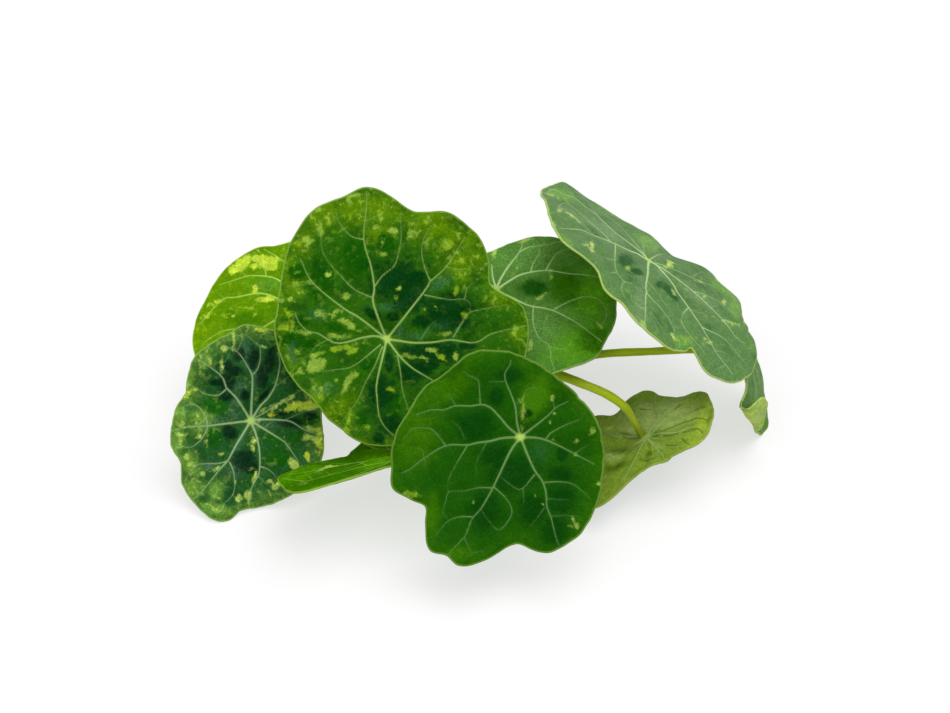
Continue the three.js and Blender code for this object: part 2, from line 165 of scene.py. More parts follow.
# Shoots, with the same points as the CAD
# stem: (x, y, z, radius) from the cut end to the tip. petioles: the leaf that each one carries,
# how far it runs square to the blade, its radius there and its own points down into the stem.
SHOOTS = {
    "shoot_left": dict(
        stem=[(-19, 69, 0.45, 1.1), (-20, 58, 0.45, 1.1), (-20, 49, 0.6, 1.0),
              (-18.6, 42, 0.8, 0.8)],
        petioles=[
            ("leaf_lower_left", 4, 0.55,
             [(-32, 30, 3.8, 0.6), (-26, 38, 1.4, 0.65), (-20.4, 46.5, 0.8, 0.7)]),
            ("leaf_back_left", 4, 0.55,
             [(-22.2, 43.5, 8.2, 0.6), (-20.8, 48, 3.2, 0.65), (-20.2, 51.5, 0.8, 0.7)]),
            ("leaf_low_front", 3.2, 0.5,
             [(-7.4, 12.4, 4.6, 0.55), (-7.9, 16, 2, 0.6), (-9.8, 23, 0.9, 0.6),
              (-13.5, 33, 0.6, 0.65), (-18.4, 42.5, 0.8, 0.7)]),
        ]),
    "shoot_middle": dict(
        stem=[(-12.5, 71, 0.5, 1.15), (-9.5, 60, 0.5, 1.15), (-6, 51, 0.6, 1.0), (-4, 43, 1.7, 0.8)],
        petioles=[
            ("leaf_large_left", 5, 0.6,
             [(-12.2, 35, 13.6, 0.65), (-9.6, 42, 7.2, 0.7), (-6.4, 50, 1.0, 0.75)]),
            ("leaf_back_middle", 4, 0.55,
             [(0.8, 44, 10, 0.6), (-3, 49.5, 3.2, 0.65), (-6.8, 54, 0.8, 0.7)]),
            ("leaf_front", 5, 0.6,
             [(5.5, 20, 10, 0.6), (3, 28, 5.6, 0.65), (-1, 37, 2.8, 0.7), (-4.3, 45, 1.4, 0.75)]),
        ]),
    "shoot_right": dict(
        stem=[(-5, 70, 0.5, 1.15), (0.5, 60, 0.5, 1.15), (4.5, 50, 1.5, 1.05), (7.5, 42, 5.2, 0.95),
              (9, 36, 8.8, 0.85), (9.6, 31.6, 11, 0.78)],
        petioles=[
            ("leaf_upper_right", 3.4, 0.6,
             [(22.2, 41.2, 17.4, 0.65), (17.5, 43.4, 12.4, 0.65), (10.5, 46, 6.2, 0.7),
              (4.7, 51, 1.4, 0.75)]),
            ("leaf_right_edge", 3, 0.5,
             [(34, 35.2, 11.4, 0.6), (27, 33.9, 12.2, 0.6), (19.2, 32.7, 12.7, 0.62),
              (9.4, 32, 10.8, 0.7)]),
            ("leaf_turned_over", 2.4, 0.5,
             [(22.7, 23.2, 10.4, 0.66), (20.2, 25.2, 11.1, 0.68), (16, 27.5, 11.5, 0.7),
              (12.5, 29.6, 11.4, 0.72), (9.5, 32, 10.8, 0.75)]),
        ]),
}

# Traced in enlarged windows of the 950 x 713 photograph: left, top and magnification
WINDOWS = {
    "leaf_large_left": (260, 180, 5.227),
    "leaf_front": (380, 340, 6.533),
    "leaf_lower_left": (160, 320, 7.467),
    "leaf_back_left": (170, 230, 9.22),
    "leaf_back_middle": (470, 170, 5.058),
    "leaf_upper_right": (520, 170, 9.8),
    "leaf_turned_over": (540, 370, 8.2526),
    "leaf_low_front": (260, 400, 9.8),
}

# Directions of a blade, from and to, that the photograph doesn't show and whose veins are grown
HIDDEN = {"leaf_large_left": (0, 0), "leaf_front": (0, 0), "leaf_lower_left": (0, 0),
          "leaf_upper_right": (0, 0), "leaf_back_middle": (100, 275)}

# Veins in each window: the rank of each, and its points from the middle of the leaf outwards
VEINS = {
    "leaf_large_left": [
        (1, [(660, 820), (625, 740), (597, 660), (590, 620), (597, 560), (580, 450), (543, 310),
             (557, 130), (557, 60)]),
        (2, [(590, 615), (540, 595), (480, 560), (360, 430), (325, 360), (318, 280), (305, 240)]),
        (2, [(603, 550), (640, 500), (700, 450), (722, 390), (738, 300), (735, 190)]),
        (2, [(540, 310), (480, 295), (430, 245), (405, 200), (395, 150)]),
        (3, [(550, 215), (650, 160), (655, 110)]),
        (1, [(660, 820), (860, 580), (890, 530), (975, 450), (1070, 300)]),
        (2, [(890, 525), (862, 460), (845, 380), (855, 310), (890, 240)]),
        (3, [(975, 455), (1060, 465), (1130, 450)]),
        (2, [(860, 600), (930, 615), (1000, 625), (1070, 622), (1100, 650), (1095, 690)]),
        (3, [(1070, 620), (1085, 560), (1120, 535)]),
        (1, [(660, 820), (730, 840), (800, 850), (900, 848), (1000, 835), (1100, 850), (1150, 840),
             (1220, 800), (1415, 755)]),
        (2, [(1010, 820), (1060, 740), (1100, 690), (1290, 650)]),
        (3, [(840, 830), (890, 760), (920, 735)]),
        (1, [(690, 860), (730, 920), (800, 985), (900, 1045), (960, 1090)]),
        (2, [(715, 900), (735, 1010), (745, 1100), (790, 1240)]),
        (1, [(650, 860), (612, 1050), (612, 1140), (625, 1240), (660, 1300), (695, 1330)]),
        (2, [(640, 870), (600, 970), (545, 1070), (510, 1150), (430, 1260)]),
        (2, [(630, 860), (490, 970), (400, 990), (330, 1000)]),
        (1, [(660, 815), (600, 815), (530, 825), (460, 845), (390, 850), (300, 800), (250, 790),
             (200, 740), (185, 690)]),
        (3, [(350, 835), (290, 870), (250, 920), (190, 935)]),
        (1, [(660, 820), (520, 720), (430, 665), (275, 535), (210, 410)]),
        (3, [(275, 540), (140, 555)]),
    ],
    "leaf_front": [
        (1, [(920, 625), (895, 540), (885, 440), (855, 350), (825, 280), (815, 220), (850, 160),
             (855, 130)]),
        (3, [(815, 270), (715, 270)]),
        (3, [(890, 420), (930, 370), (960, 320), (1010, 305)]),
        (1, [(900, 600), (840, 570), (780, 500), (720, 440), (660, 420), (600, 430), (490, 430),
             (420, 455), (340, 455), (240, 485)]),
        (2, [(655, 420), (650, 330), (640, 260), (590, 235), (540, 200)]),
        (3, [(490, 420), (450, 350)]),
        (3, [(715, 440), (740, 410)]),
        (1, [(900, 630), (800, 640), (720, 660), (640, 670), (570, 685), (430, 690), (290, 770),
             (200, 840), (140, 870)]),
        (2, [(430, 690), (350, 590), (300, 575), (210, 580), (150, 650)]),
        (2, [(570, 690), (470, 860), (440, 950), (445, 990)]),
        (3, [(290, 775), (270, 710), (200, 700)]),
        (3, [(295, 780), (300, 860)]),
        (3, [(700, 665), (640, 770), (625, 840), (635, 865)]),
        (3, [(550, 640), (520, 570), (470, 530)]),
        (1, [(900, 670), (850, 730), (740, 960), (660, 1100), (600, 1170), (555, 1280), (480, 1360),
             (440, 1410)]),
        (2, [(740, 965), (640, 965), (550, 985), (450, 990), (430, 1050), (410, 1130), (440, 1160)]),
        (2, [(600, 1155), (520, 1155), (440, 1185), (360, 1280)]),
        (2, [(745, 960), (820, 1030), (860, 1100), (850, 1160), (780, 1240), (720, 1190), (665, 1115)]),
        (3, [(550, 1290), (580, 1350), (610, 1390), (670, 1370)]),
        (1, [(930, 660), (960, 740), (1010, 850), (1060, 920), (1085, 1000), (1090, 1090), (1115, 1150),
             (1150, 1290), (1170, 1340)]),
        (2, [(1075, 930), (1180, 925), (1270, 945), (1370, 1030)]),
        (2, [(1010, 880), (930, 970), (880, 965), (790, 895)]),
        (3, [(1120, 1150), (1230, 1145), (1300, 1150)]),
        (3, [(1075, 1095), (1020, 1170), (960, 1240)]),
        (3, [(935, 970), (940, 1060)]),
        (3, [(1090, 1035), (1150, 1040), (1230, 1040)]),
        (1, [(950, 645), (1090, 655), (1400, 810)]),
        (2, [(1085, 645), (1110, 610), (1200, 560), (1300, 520)]),
        (3, [(1280, 735), (1360, 680)]),
        (1, [(930, 605), (1040, 540), (1100, 490), (1150, 440), (1230, 400)]),
        (3, [(1140, 450), (1130, 380)]),
    ],
    "leaf_lower_left": [
        (1, [(665, 740), (690, 480), (685, 410), (650, 340), (575, 235), (470, 190)]),
        (2, [(690, 410), (725, 370), (745, 310), (750, 240), (740, 190), (700, 160), (640, 100)]),
        (3, [(575, 235), (600, 180), (615, 120)]),
        (1, [(665, 740), (590, 610), (540, 550), (495, 505), (480, 460), (440, 400), (275, 285)]),
        (3, [(455, 400), (450, 340), (490, 300), (520, 260)]),
        (2, [(490, 520), (440, 560), (380, 560), (320, 545), (260, 500), (220, 480)]),
        (1, [(665, 740), (350, 790), (240, 795), (160, 805), (110, 820)]),
        (2, [(355, 780), (340, 720), (300, 660), (265, 630), (200, 635), (150, 660)]),
        (2, [(355, 800), (330, 860), (290, 910), (230, 950), (160, 940), (110, 900)]),
        (1, [(650, 770), (620, 850), (570, 930), (505, 1050), (450, 1110), (330, 1260), (250, 1340)]),
        (2, [(505, 1050), (440, 1070), (290, 1075), (240, 1110), (200, 1170), (190, 1230)]),
        (2, [(520, 1060), (545, 1120), (555, 1180), (545, 1300), (440, 1400)]),
        (3, [(545, 1300), (575, 1360), (590, 1420)]),
        (1, [(680, 780), (715, 850), (735, 930), (745, 1010), (745, 1090), (735, 1160), (700, 1220),
             (670, 1290), (660, 1370)]),
        (2, [(750, 1095), (800, 1110), (850, 1150), (870, 1180)]),
        (3, [(740, 1170), (780, 1210), (830, 1240)]),
        (1, [(700, 780), (900, 890), (945, 930), (1030, 1050)]),
        (1, [(700, 745), (780, 742), (940, 750), (1000, 770), (1060, 810), (1130, 840), (1190, 850)]),
        (2, [(700, 735), (780, 690), (930, 590), (1030, 540)]),
        (3, [(940, 740), (1040, 700), (1130, 655)]),
        (1, [(690, 715), (750, 640), (800, 590), (840, 530), (870, 460), (895, 320), (880, 240)]),
        (3, [(850, 500), (900, 470), (960, 420)]),
    ],
    "leaf_back_left": [
        (1, [(1240, 690), (1130, 550), (1030, 480), (960, 440), (880, 425), (800, 420), (710, 425),
             (460, 505)]),
        (2, [(885, 420), (880, 370), (840, 310), (790, 250), (740, 220)]),
        (3, [(700, 425), (620, 320)]),
        (1, [(1240, 690), (1110, 670), (990, 630), (920, 600), (850, 585), (780, 585), (600, 620),
             (500, 632), (380, 750), (275, 870)]),
        (3, [(500, 630), (430, 565)]),
        (3, [(740, 720), (830, 650)]),
        (1, [(1240, 690), (960, 835), (870, 890), (780, 920), (700, 910), (600, 912), (520, 922),
             (440, 950), (300, 1045)]),
        (1, [(1240, 690), (1130, 370), (1030, 275), (870, 180)]),
    ],
    "leaf_back_middle": [
        (1, [(135, 605), (150, 560), (200, 480), (240, 430), (260, 395), (262, 370)]),
        (2, [(250, 415), (300, 390), (370, 380), (460, 360)]),
        (1, [(135, 605), (200, 560), (270, 525), (385, 508), (500, 525), (560, 530), (650, 545)]),
        (2, [(305, 520), (320, 470), (345, 430), (355, 390), (375, 370)]),
        (2, [(385, 505), (410, 460), (440, 420), (500, 395)]),
        (1, [(135, 605), (260, 670), (320, 690), (380, 700), (430, 715), (490, 745), (540, 775),
             (680, 880)]),
        (2, [(425, 705), (480, 675), (540, 650), (600, 640), (650, 655), (680, 690), (690, 740),
             (660, 790)]),
        (2, [(320, 690), (318, 760), (330, 810), (350, 850), (400, 890), (410, 960), (430, 1020)]),
        (3, [(400, 890), (450, 905), (480, 905)]),
        (1, [(130, 600), (115, 540), (110, 480)]),
    ],
    "leaf_upper_right": [
        (1, [(1250, 880), (1150, 820), (1050, 780), (880, 700), (720, 640), (640, 600), (560, 580),
             (380, 570)]),
        (2, [(880, 700), (860, 670), (780, 590), (560, 395), (480, 340), (430, 325), (390, 345),
             (370, 390)]),
        (3, [(720, 635), (590, 500), (500, 370), (430, 250)]),
        (1, [(1250, 880), (1180, 800), (930, 610), (740, 430), (640, 360), (520, 265), (430, 240),
             (380, 205), (340, 190), (290, 200), (265, 225)]),
        (3, [(745, 430), (710, 360), (680, 320)]),
        (3, [(525, 265), (480, 190)]),
        (2, [(1250, 880), (1150, 740), (940, 510), (690, 320)]),
        (3, [(1240, 860), (1215, 800), (1205, 730), (1185, 680), (1210, 660), (1260, 650)]),
        (2, [(1270, 880), (1370, 825), (1430, 830), (1500, 870)]),
        (1, [(1255, 890), (1235, 1120), (1240, 1190), (1230, 1265), (1225, 1505)]),
        (2, [(935, 735), (930, 880), (935, 950), (950, 1000), (1000, 1070), (1025, 1095), (995, 1135),
             (995, 1190), (1020, 1255)]),
        (3, [(1025, 1095), (1090, 1110), (1145, 1155), (1220, 1205)]),
        (3, [(930, 880), (860, 870), (780, 840), (720, 800)]),
        (3, [(950, 1000), (880, 1010)]),
        (3, [(1050, 985), (1110, 1010), (1160, 1040), (1220, 1050)]),
        (1, [(1275, 890), (1330, 925), (1400, 1000), (1510, 1135), (1555, 1215), (1790, 1555),
             (1925, 1790), (2055, 1960), (2080, 2005)]),
        (2, [(1645, 1355), (1600, 1400), (1580, 1445), (1585, 1500), (1635, 1580), (1690, 1650),
             (1790, 1760), (1825, 1845)]),
        (3, [(1655, 1360), (1835, 1425)]),
        (2, [(1790, 1545), (1955, 1625), (2025, 1680), (2190, 1880)]),
        (3, [(1925, 1770), (2000, 1790), (2055, 1825)]),
        (3, [(2000, 1915), (1955, 1940), (1910, 1950)]),
        (1, [(1290, 900), (1435, 990), (1655, 1155), (1980, 1460), (2090, 1605), (2145, 1660),
             (2205, 1700)]),
        (2, [(1700, 1195), (1780, 1210), (1935, 1280), (2005, 1325), (2060, 1380), (2125, 1415)]),
        (2, [(1990, 1465), (2115, 1505), (2170, 1555)]),
        (2, [(1330, 910), (1490, 965), (1745, 1080), (1910, 1145), (1960, 1190)]),
        (3, [(1695, 1050), (1725, 1020), (1780, 1000)]),
        (3, [(1260, 1100), (1375, 1245), (1455, 1360), (1500, 1415), (1525, 1435)]),
        (2, [(1240, 1200), (1290, 1265), (1345, 1315), (1400, 1380), (1455, 1455), (1510, 1560),
             (1510, 1605)]),
        (3, [(1225, 1355), (1175, 1335), (1090, 1270), (1085, 1225), (1045, 1200)]),
        (3, [(1275, 1390), (1330, 1460), (1410, 1605)]),
    ],
    "leaf_turned_over": [
        (1, [(895, 555), (1000, 465), (1065, 425), (1245, 355), (1295, 325), (1350, 300)]),
        (4, [(1015, 490), (1065, 465), (1190, 415), (1230, 405), (1280, 380), (1325, 380),
             (1375, 400)]),
        (1, [(895, 555), (985, 525), (1140, 515), (1195, 490), (1260, 470), (1320, 470), (1360, 495)]),
        (4, [(1015, 540), (1100, 530), (1140, 520)]),
        (4, [(1180, 510), (1295, 480), (1335, 510)]),
        (2, [(910, 560), (985, 570), (1065, 565), (1130, 555)]),
        (4, [(1165, 555), (1195, 585), (1230, 610)]),
        (2, [(905, 580), (985, 625), (1065, 635), (1140, 635), (1205, 625)]),
        (2, [(895, 535), (985, 405)]),
        (4, [(1085, 325), (1130, 310), (1165, 275)]),
        (4, [(820, 310), (860, 325), (910, 315)]),
        (4, [(1180, 360), (1245, 340), (1295, 315), (1350, 300)]),
        (3, [(950, 260), (950, 340)]),
        (1, [(880, 560), (660, 555), (575, 530), (520, 520)]),
        (4, [(690, 555), (755, 565), (815, 560)]),
        (1, [(880, 570), (780, 625), (715, 670), (570, 710), (510, 735)]),
        (4, [(600, 700), (700, 670), (795, 620)]),
        (1, [(885, 580), (820, 670), (700, 905)]),
        (2, [(880, 580), (765, 675), (665, 780)]),
        (4, [(820, 725), (880, 735), (935, 725)]),
        (4, [(1035, 610), (1065, 620), (1125, 615)]),
        (3, [(1000, 275), (1195, 235)]),
    ],
    "leaf_low_front": [
        (1, [(1300, 590), (1260, 605), (1060, 640), (520, 775), (400, 785), (200, 765)]),
        (2, [(1060, 640), (1000, 620), (950, 590), (900, 550)]),
        (3, [(700, 735), (640, 700), (590, 690)]),
        (3, [(400, 785), (440, 820), (500, 840)]),
        (3, [(520, 775), (470, 740), (430, 700)]),
    ],
}

# Ovals in each window: x, y, half length, half width, and the degrees that it is turned by
# Of these kinds, the dark ovals are painted shade, in pits between the veins and where other leaves
# shade a blade; the lighter ovals are painted light over paler tone; the bluish-grey ovals are a
# painted sheen over a pale bloom.
PATCHES = {
    "leaf_large_left": dict(
        cream=[(340, 703, 48, 15, 8), (380, 718, 18, 16), (395, 691, 20, 6, -10),
               (446, 750, 54, 16, 30), (413, 817, 60, 13, 2), (260, 802, 34, 11, 5), (198, 794, 20, 11),
               (294, 974, 50, 34, -25), (210, 1001, 42, 13, -20), (467, 1044, 62, 18, -62),
               (110, 631, 18, 11), (214, 591, 20, 11, -10), (164, 618, 12, 16), (451, 612, 18, 17),
               (279, 923, 12, 11), (940, 808, 42, 11, -8), (859, 675, 15, 11), (722, 570, 12, 8, -30),
               (897, 887, 28, 12, 10), (813, 925, 44, 10, 10), (1022, 916, 9, 15), (688, 265, 24, 13),
               (788, 284, 14, 19), (642, 388, 15, 11), (315, 250, 12, 30), (495, 79, 22, 7, -10),
               (245, 315, 15, 11), (352, 491, 13, 13), (238, 532, 28, 8, -5)],
        yellow=[(409, 879, 78, 12, -14), (384, 887, 22, 11), (150, 700, 30, 12, 60), (172, 740, 11, 36),
                (125, 772, 22, 15), (206, 909, 16, 9, 30), (398, 1047, 12, 12), (310, 1124, 12, 26),
                (462, 1255, 11, 50, 12), (459, 1302, 18, 13), (559, 1292, 20, 16), (681, 1092, 14, 15),
                (402, 1262, 12, 10), (705, 612, 8, 12), (917, 666, 7, 15, -30), (1026, 579, 11, 18),
                (1072, 704, 18, 15), (938, 920, 26, 11, 30), (503, 1016, 12, 11),
                (486, 894, 24, 8, -25), (627, 169, 14, 12), (980, 338, 24, 20), (872, 219, 18, 13),
                (1049, 426, 18, 13), (1045, 491, 16, 9, 20), (361, 224, 14, 14), (425, 293, 16, 10),
                (465, 202, 11, 22, 30), (183, 326, 20, 11, 10), (440, 136, 18, 8, 30)],
        shade_and_dark_tone=[(755, 591, 50, 35), (680, 512, 60, 46), (988, 687, 80, 60), (842, 741, 60, 50),
              (692, 716, 45, 25), (872, 970, 90, 35), (780, 890, 60, 28), (676, 950, 26, 70),
              (1080, 866, 60, 24), (626, 1345, 44, 40), (820, 500, 70, 40), (590, 700, 60, 30, 30),
              (940, 1060, 120, 50, -30), (721, 530, 170, 130), (980, 690, 170, 130),
              (900, 900, 180, 80), (780, 640, 120, 80), (627, 1113, 80, 120), (680, 1291, 80, 66),
              (800, 1000, 120, 60)],
        fresh=[(692, 1160, 46, 110), (536, 1245, 30, 50), (221, 856, 90, 34), (394, 770, 60, 22, 20),
               (225, 740, 40, 30), (660, 330, 50, 60), (560, 960, 60, 40), (200, 480, 60, 50),
               (157, 836, 90, 34), (507, 402, 90, 120), (314, 523, 66, 120)],
        sheen_and_bloom=[(697, 662, 100, 20, -5), (755, 637, 60, 15, -10), (813, 591, 22, 26, 45),
               (859, 804, 46, 12, -50), (1038, 770, 66, 11, -55), (955, 750, 56, 26),
               (805, 816, 44, 14), (730, 787, 18, 36), (940, 540, 60, 26, -30), (300, 700, 40, 26),
               (170, 900, 26, 46), (330, 1100, 60, 24, -20)],
        light_and_pale_tone=[(600, 150, 330, 90), (900, 220, 150, 110), (1060, 420, 110, 130), (1240, 620, 70, 50, 20),
              (1350, 800, 60, 50), (340, 180, 120, 80, -30), (220, 330, 60, 90, 30),
              (380, 1230, 150, 70, -40), (300, 1120, 60, 60), (620, 280, 90, 60), (170, 500, 60, 130),
              (1019, 314, 110, 100), (1100, 420, 80, 80)]),
    "leaf_front": dict(
        cream=[(1390, 600, 20, 18), (1285, 655, 18, 18), (1135, 650, 12, 12), (1130, 385, 12, 16),
               (1015, 1018, 12, 16), (1262, 1168, 16, 8, 80), (1287, 1225, 14, 8, 60),
               (1243, 1215, 10, 8), (1279, 749, 12, 12), (1059, 1075, 8, 8), (1140, 480, 12, 10),
               (1425, 945, 12, 20), (610, 1060, 12, 12), (932, 470, 14, 62), (1110, 535, 10, 10)],
        yellow=[(200, 1010, 60, 16, 10)],
        shade_and_dark_tone=[(900, 850, 130, 110), (750, 750, 120, 80, -30), (640, 540, 130, 90),
              (1000, 1100, 110, 120), (1180, 880, 110, 60, 10), (700, 1100, 90, 90), (960, 480, 40, 30),
              (850, 230, 90, 60), (760, 370, 60, 70), (1190, 740, 50, 60), (1143, 1241, 110, 110),
              (1180, 1040, 110, 120), (860, 860, 190, 150), (680, 1120, 120, 150),
              (620, 560, 150, 120)],
        light_and_pale_tone=[(230, 620, 150, 260, 10), (420, 330, 220, 90, -30), (1040, 330, 110, 130, 20),
              (480, 1420, 160, 70, -20), (340, 1150, 50, 160)],
        sheen_and_bloom=[(1040, 730, 60, 70), (820, 880, 60, 30, 20)],
        fresh=[(1000, 400, 80, 140, 25)]),
    "leaf_lower_left": dict(
        yellow=[(1000, 650, 165, 24, -17), (1090, 640, 90, 34, -14), (1187, 830, 46, 20, 80),
                (1190, 925, 50, 24, 80), (1102, 1025, 46, 18, 75), (215, 555, 46, 20, -40),
                (760, 70, 60, 12, 10)],
        cream=[(905, 618, 140, 16, -34), (815, 650, 70, 12, -28), (1120, 880, 50, 16, 10),
               (1100, 806, 36, 15, 20), (1000, 1075, 48, 32, 60), (818, 1205, 22, 18),
               (850, 1250, 34, 22, 40), (885, 1215, 16, 26), (480, 210, 30, 25), (462, 310, 12, 44),
               (200, 1020, 30, 20, 15), (425, 1108, 30, 10, -20), (315, 1145, 14, 18),
               (587, 1329, 20, 24), (661, 1302, 24, 32), (702, 1192, 12, 46, 12), (456, 998, 22, 12),
               (294, 873, 24, 12, -10), (351, 888, 7, 36), (700, 920, 9, 46, -5),
               (770, 200, 20, 14, 20), (550, 150, 12, 40), (561, 1219, 8, 26), (690, 1110, 16, 12),
               (370, 300, 10, 22)],
        shade_and_dark_tone=[(567, 380, 70, 46), (512, 345, 36, 60), (497, 572, 64, 44), (417, 467, 60, 28),
              (637, 562, 42, 50), (503, 841, 46, 58), (640, 1035, 80, 70), (655, 1103, 50, 30),
              (692, 1111, 60, 46), (700, 287, 60, 110), (820, 300, 50, 130, 10),
              (780, 560, 90, 22, -50), (1120, 715, 60, 36), (900, 700, 110, 22, -8), (597, 261, 60, 60),
              (500, 470, 80, 80), (620, 1050, 110, 90), (520, 840, 70, 70), (760, 420, 60, 120),
              (980, 760, 120, 50)],
        fresh=[(407, 637, 100, 70), (404, 878, 56, 76), (1016, 878, 60, 46), (892, 1025, 100, 72, 20),
               (1120, 740, 90, 40), (860, 900, 80, 40, 30)],
        sheen_and_bloom=[(577, 502, 84, 28, -15), (567, 612, 34, 84, 25), (557, 702, 46, 56),
               (437, 757, 120, 20, -5), (587, 920, 100, 24, 115), (797, 787, 90, 28),
               (640, 240, 60, 90), (720, 420, 30, 110), (560, 1110, 60, 60), (380, 1090, 70, 40)],
        light_and_pale_tone=[(200, 470, 70, 170, 10), (150, 727, 70, 100), (130, 900, 60, 110),
              (230, 1080, 80, 110, -20), (240, 1260, 110, 90, 40), (440, 1420, 170, 50, 15),
              (330, 300, 60, 80, 40), (299, 747, 110, 110), (411, 1269, 60, 70)]),
    "leaf_back_left": dict(
        cream=[(660, 320, 95, 48, -30), (910, 300, 90, 62, 10), (790, 262, 70, 34, 10),
               (590, 370, 40, 36), (540, 300, 30, 20, -30), (890, 640, 70, 28), (690, 718, 75, 16),
               (785, 550, 22, 22), (790, 790, 36, 16, -30), (505, 785, 28, 22), (420, 670, 42, 9, -20),
               (330, 800, 14, 10), (600, 800, 14, 10), (820, 200, 14, 22), (780, 335, 70, 26)],
        sheen_and_bloom=[(900, 510, 130, 56)],
        shade_and_dark_tone=[(700, 820, 190, 70)],
        light_and_pale_tone=[(300, 900, 110, 220, 20)]),
    "leaf_back_middle": dict(
        cream=[(225, 517, 36, 8, -50), (280, 358, 26, 9, -10), (120, 425, 44, 9, -75),
               (360, 645, 28, 7, -30), (655, 792, 20, 13, 20), (305, 890, 25, 9, -60),
               (500, 725, 14, 6), (407, 530, 6, 16)],
        shade_and_dark_tone=[(320, 600, 80, 55)],
        light_and_pale_tone=[(620, 640, 130, 140), (560, 880, 200, 110, -20)],
        sheen_and_bloom=[(300, 430, 200, 90, -20), (360, 780, 120, 110)],
        fresh=[(480, 600, 90, 90), (640, 860, 90, 70)]),
    "leaf_upper_right": dict(
        cream=[(490, 450, 70, 14, 38), (550, 490, 26, 12, 40), (380, 398, 16, 10),
               (305, 248, 36, 10, 28), (700, 750, 20, 42), (650, 740, 26, 14, 20), (1465, 930, 34, 22),
               (1800, 1250, 20, 18), (1500, 1215, 22, 14, 40), (1810, 1655, 16, 12),
               (1845, 1695, 26, 10, -20), (1500, 1640, 16, 30, -40), (2030, 1490, 60, 10, 15),
               (1610, 1185, 24, 10, 20), (1780, 1100, 34, 8, 15), (1990, 1300, 20, 14)],
        yellow=[(1320, 672, 30, 20, 20), (1055, 960, 18, 12), (1220, 1530, 18, 60, -35),
                (330, 560, 16, 44, -15)],
        shade_and_dark_tone=[(1040, 900, 90, 70, 30), (1440, 1180, 100, 42, 45), (1360, 1130, 40, 40),
              (1130, 1000, 90, 34, 10), (1500, 1250, 60, 30, 45)],
        light_and_pale_tone=[(1240, 700, 130, 60, 30), (2000, 1170, 150, 70, 40), (400, 250, 150, 60, 20),
              (1600, 1690, 110, 70), (1300, 760, 70, 60), (2100, 1350, 60, 140, -10),
              (900, 420, 200, 30, 30), (430, 700, 120, 40, 40)],
        sheen_and_bloom=[(820, 600, 260, 60, 38), (1400, 1000, 60, 50), (1180, 1350, 60, 260),
               (1750, 1250, 260, 50, 40)]),
    "leaf_turned_over": dict(
        shade_and_dark_tone=[(615, 655, 80, 34), (640, 790, 110, 22, -20), (560, 800, 60, 34), (690, 660, 60, 30),
              (905, 690, 34, 18), (940, 540, 90, 30, -30), (700, 520, 60, 20, 10)],
        light_and_pale_tone=[(1330, 470, 46, 150, 10), (1260, 720, 160, 26, -25), (1130, 830, 160, 26, -30),
              (700, 1010, 160, 30, -32), (1290, 640, 90, 70, -20), (560, 470, 40, 20),
              (860, 960, 120, 24, -32)],
        sheen_and_bloom=[(950, 420, 240, 90), (760, 480, 120, 60), (600, 700, 70, 40), (1090, 340, 200, 90),
               (880, 330, 90, 60)]),
    "leaf_low_front": dict(
        cream=[(700, 655, 40, 6, -5), (610, 690, 28, 8, -30), (450, 810, 36, 7, -15)],
        light_and_pale_tone=[(380, 730, 220, 60, -20), (1180, 560, 200, 110, 10), (1080, 640, 120, 40, -15)]),
}


# Shape of a blade
def outline_radius(outline, degrees):
    """Radius of a closed smooth curve through the outline's points, at each of these angles"""
    angle = np.array([p[0] for p in outline], float)
    radius = np.array([p[1] for p in outline], float)
    angle = np.concatenate([angle[-2:] - 360, angle, angle[:3] + 360])
    radius = np.concatenate([radius[-2:], radius, radius[:3]])
    a = np.mod(np.asarray(degrees, float), 360)
    a = np.where(a < angle[2], a + 360, a)
    i = np.clip(np.searchsorted(angle, a, side="right") - 1, 2, len(angle) - 3)
    span = angle[i + 1] - angle[i]
    t = (a - angle[i]) / span
    slope_from = (radius[i + 1] - radius[i - 1]) / (angle[i + 1] - angle[i - 1])
    slope_to = (radius[i + 2] - radius[i]) / (angle[i + 2] - angle[i])
    return ((2 * t**3 - 3 * t**2 + 1) * radius[i] + (t**3 - 2 * t**2 + t) * span * slope_from
            + (3 * t**2 - 2 * t**3) * radius[i + 1] + (t**3 - t**2) * span * slope_to)


def share_of_radius(leaf, u, v):
    """How far out each point lies: 0 at the centre, 1 at the margin"""
    return np.hypot(u, v) / outline_radius(leaf["outline"], np.degrees(np.arctan2(v, u)))


def blade_height(leaf, u, v):
    """Height of the upper face over the blade's plan, before it is leant"""
    degrees = np.degrees(np.arctan2(v, u))
    s = share_of_radius(leaf, u, v)
    h = leaf["dish"] * s * s - leaf["navel"] * np.exp(-(u * u + v * v) / NAVEL_REACH**2)
    for height, count, phase in leaf["waves"]:
        h = h + height * s**3 * np.sin(np.radians(count * degrees + phase))
    return h


def roll_up(u, v, w, curl):
    """Rolls what lies beyond a line across the blade, keeping its length"""
    degrees, start, radius, most = curl
    c, s = math.cos(math.radians(degrees)), math.sin(math.radians(degrees))
    side, reach = math.copysign(1, radius), abs(radius)
    along, across = u * c + v * s, v * c - u * s
    turn = np.clip((along - start) / reach, 0, math.radians(most))
    rest = along - start - turn * reach
    arm = reach - w * side
    q = start + arm * np.sin(turn) + rest * np.cos(turn)
    h = (reach - arm * np.cos(turn) + rest * np.sin(turn)) * side
    beyond = along > start
    return (np.where(beyond, q * c - across * s, u), np.where(beyond, q * s + across * c, v),
            np.where(beyond, h, w))


def leaf_axes(leaf):
    """The two directions of the blade's plan and the one out of its upper face"""
    lean, toward = math.radians(leaf["lean"]), math.radians(leaf["toward"])
    out = np.array([math.sin(lean) * math.sin(toward), -math.sin(lean) * math.cos(toward),
                    math.cos(lean)])
    across = np.array([math.cos(toward), math.sin(toward), 0.0])
    return across, np.cross(out, across), out


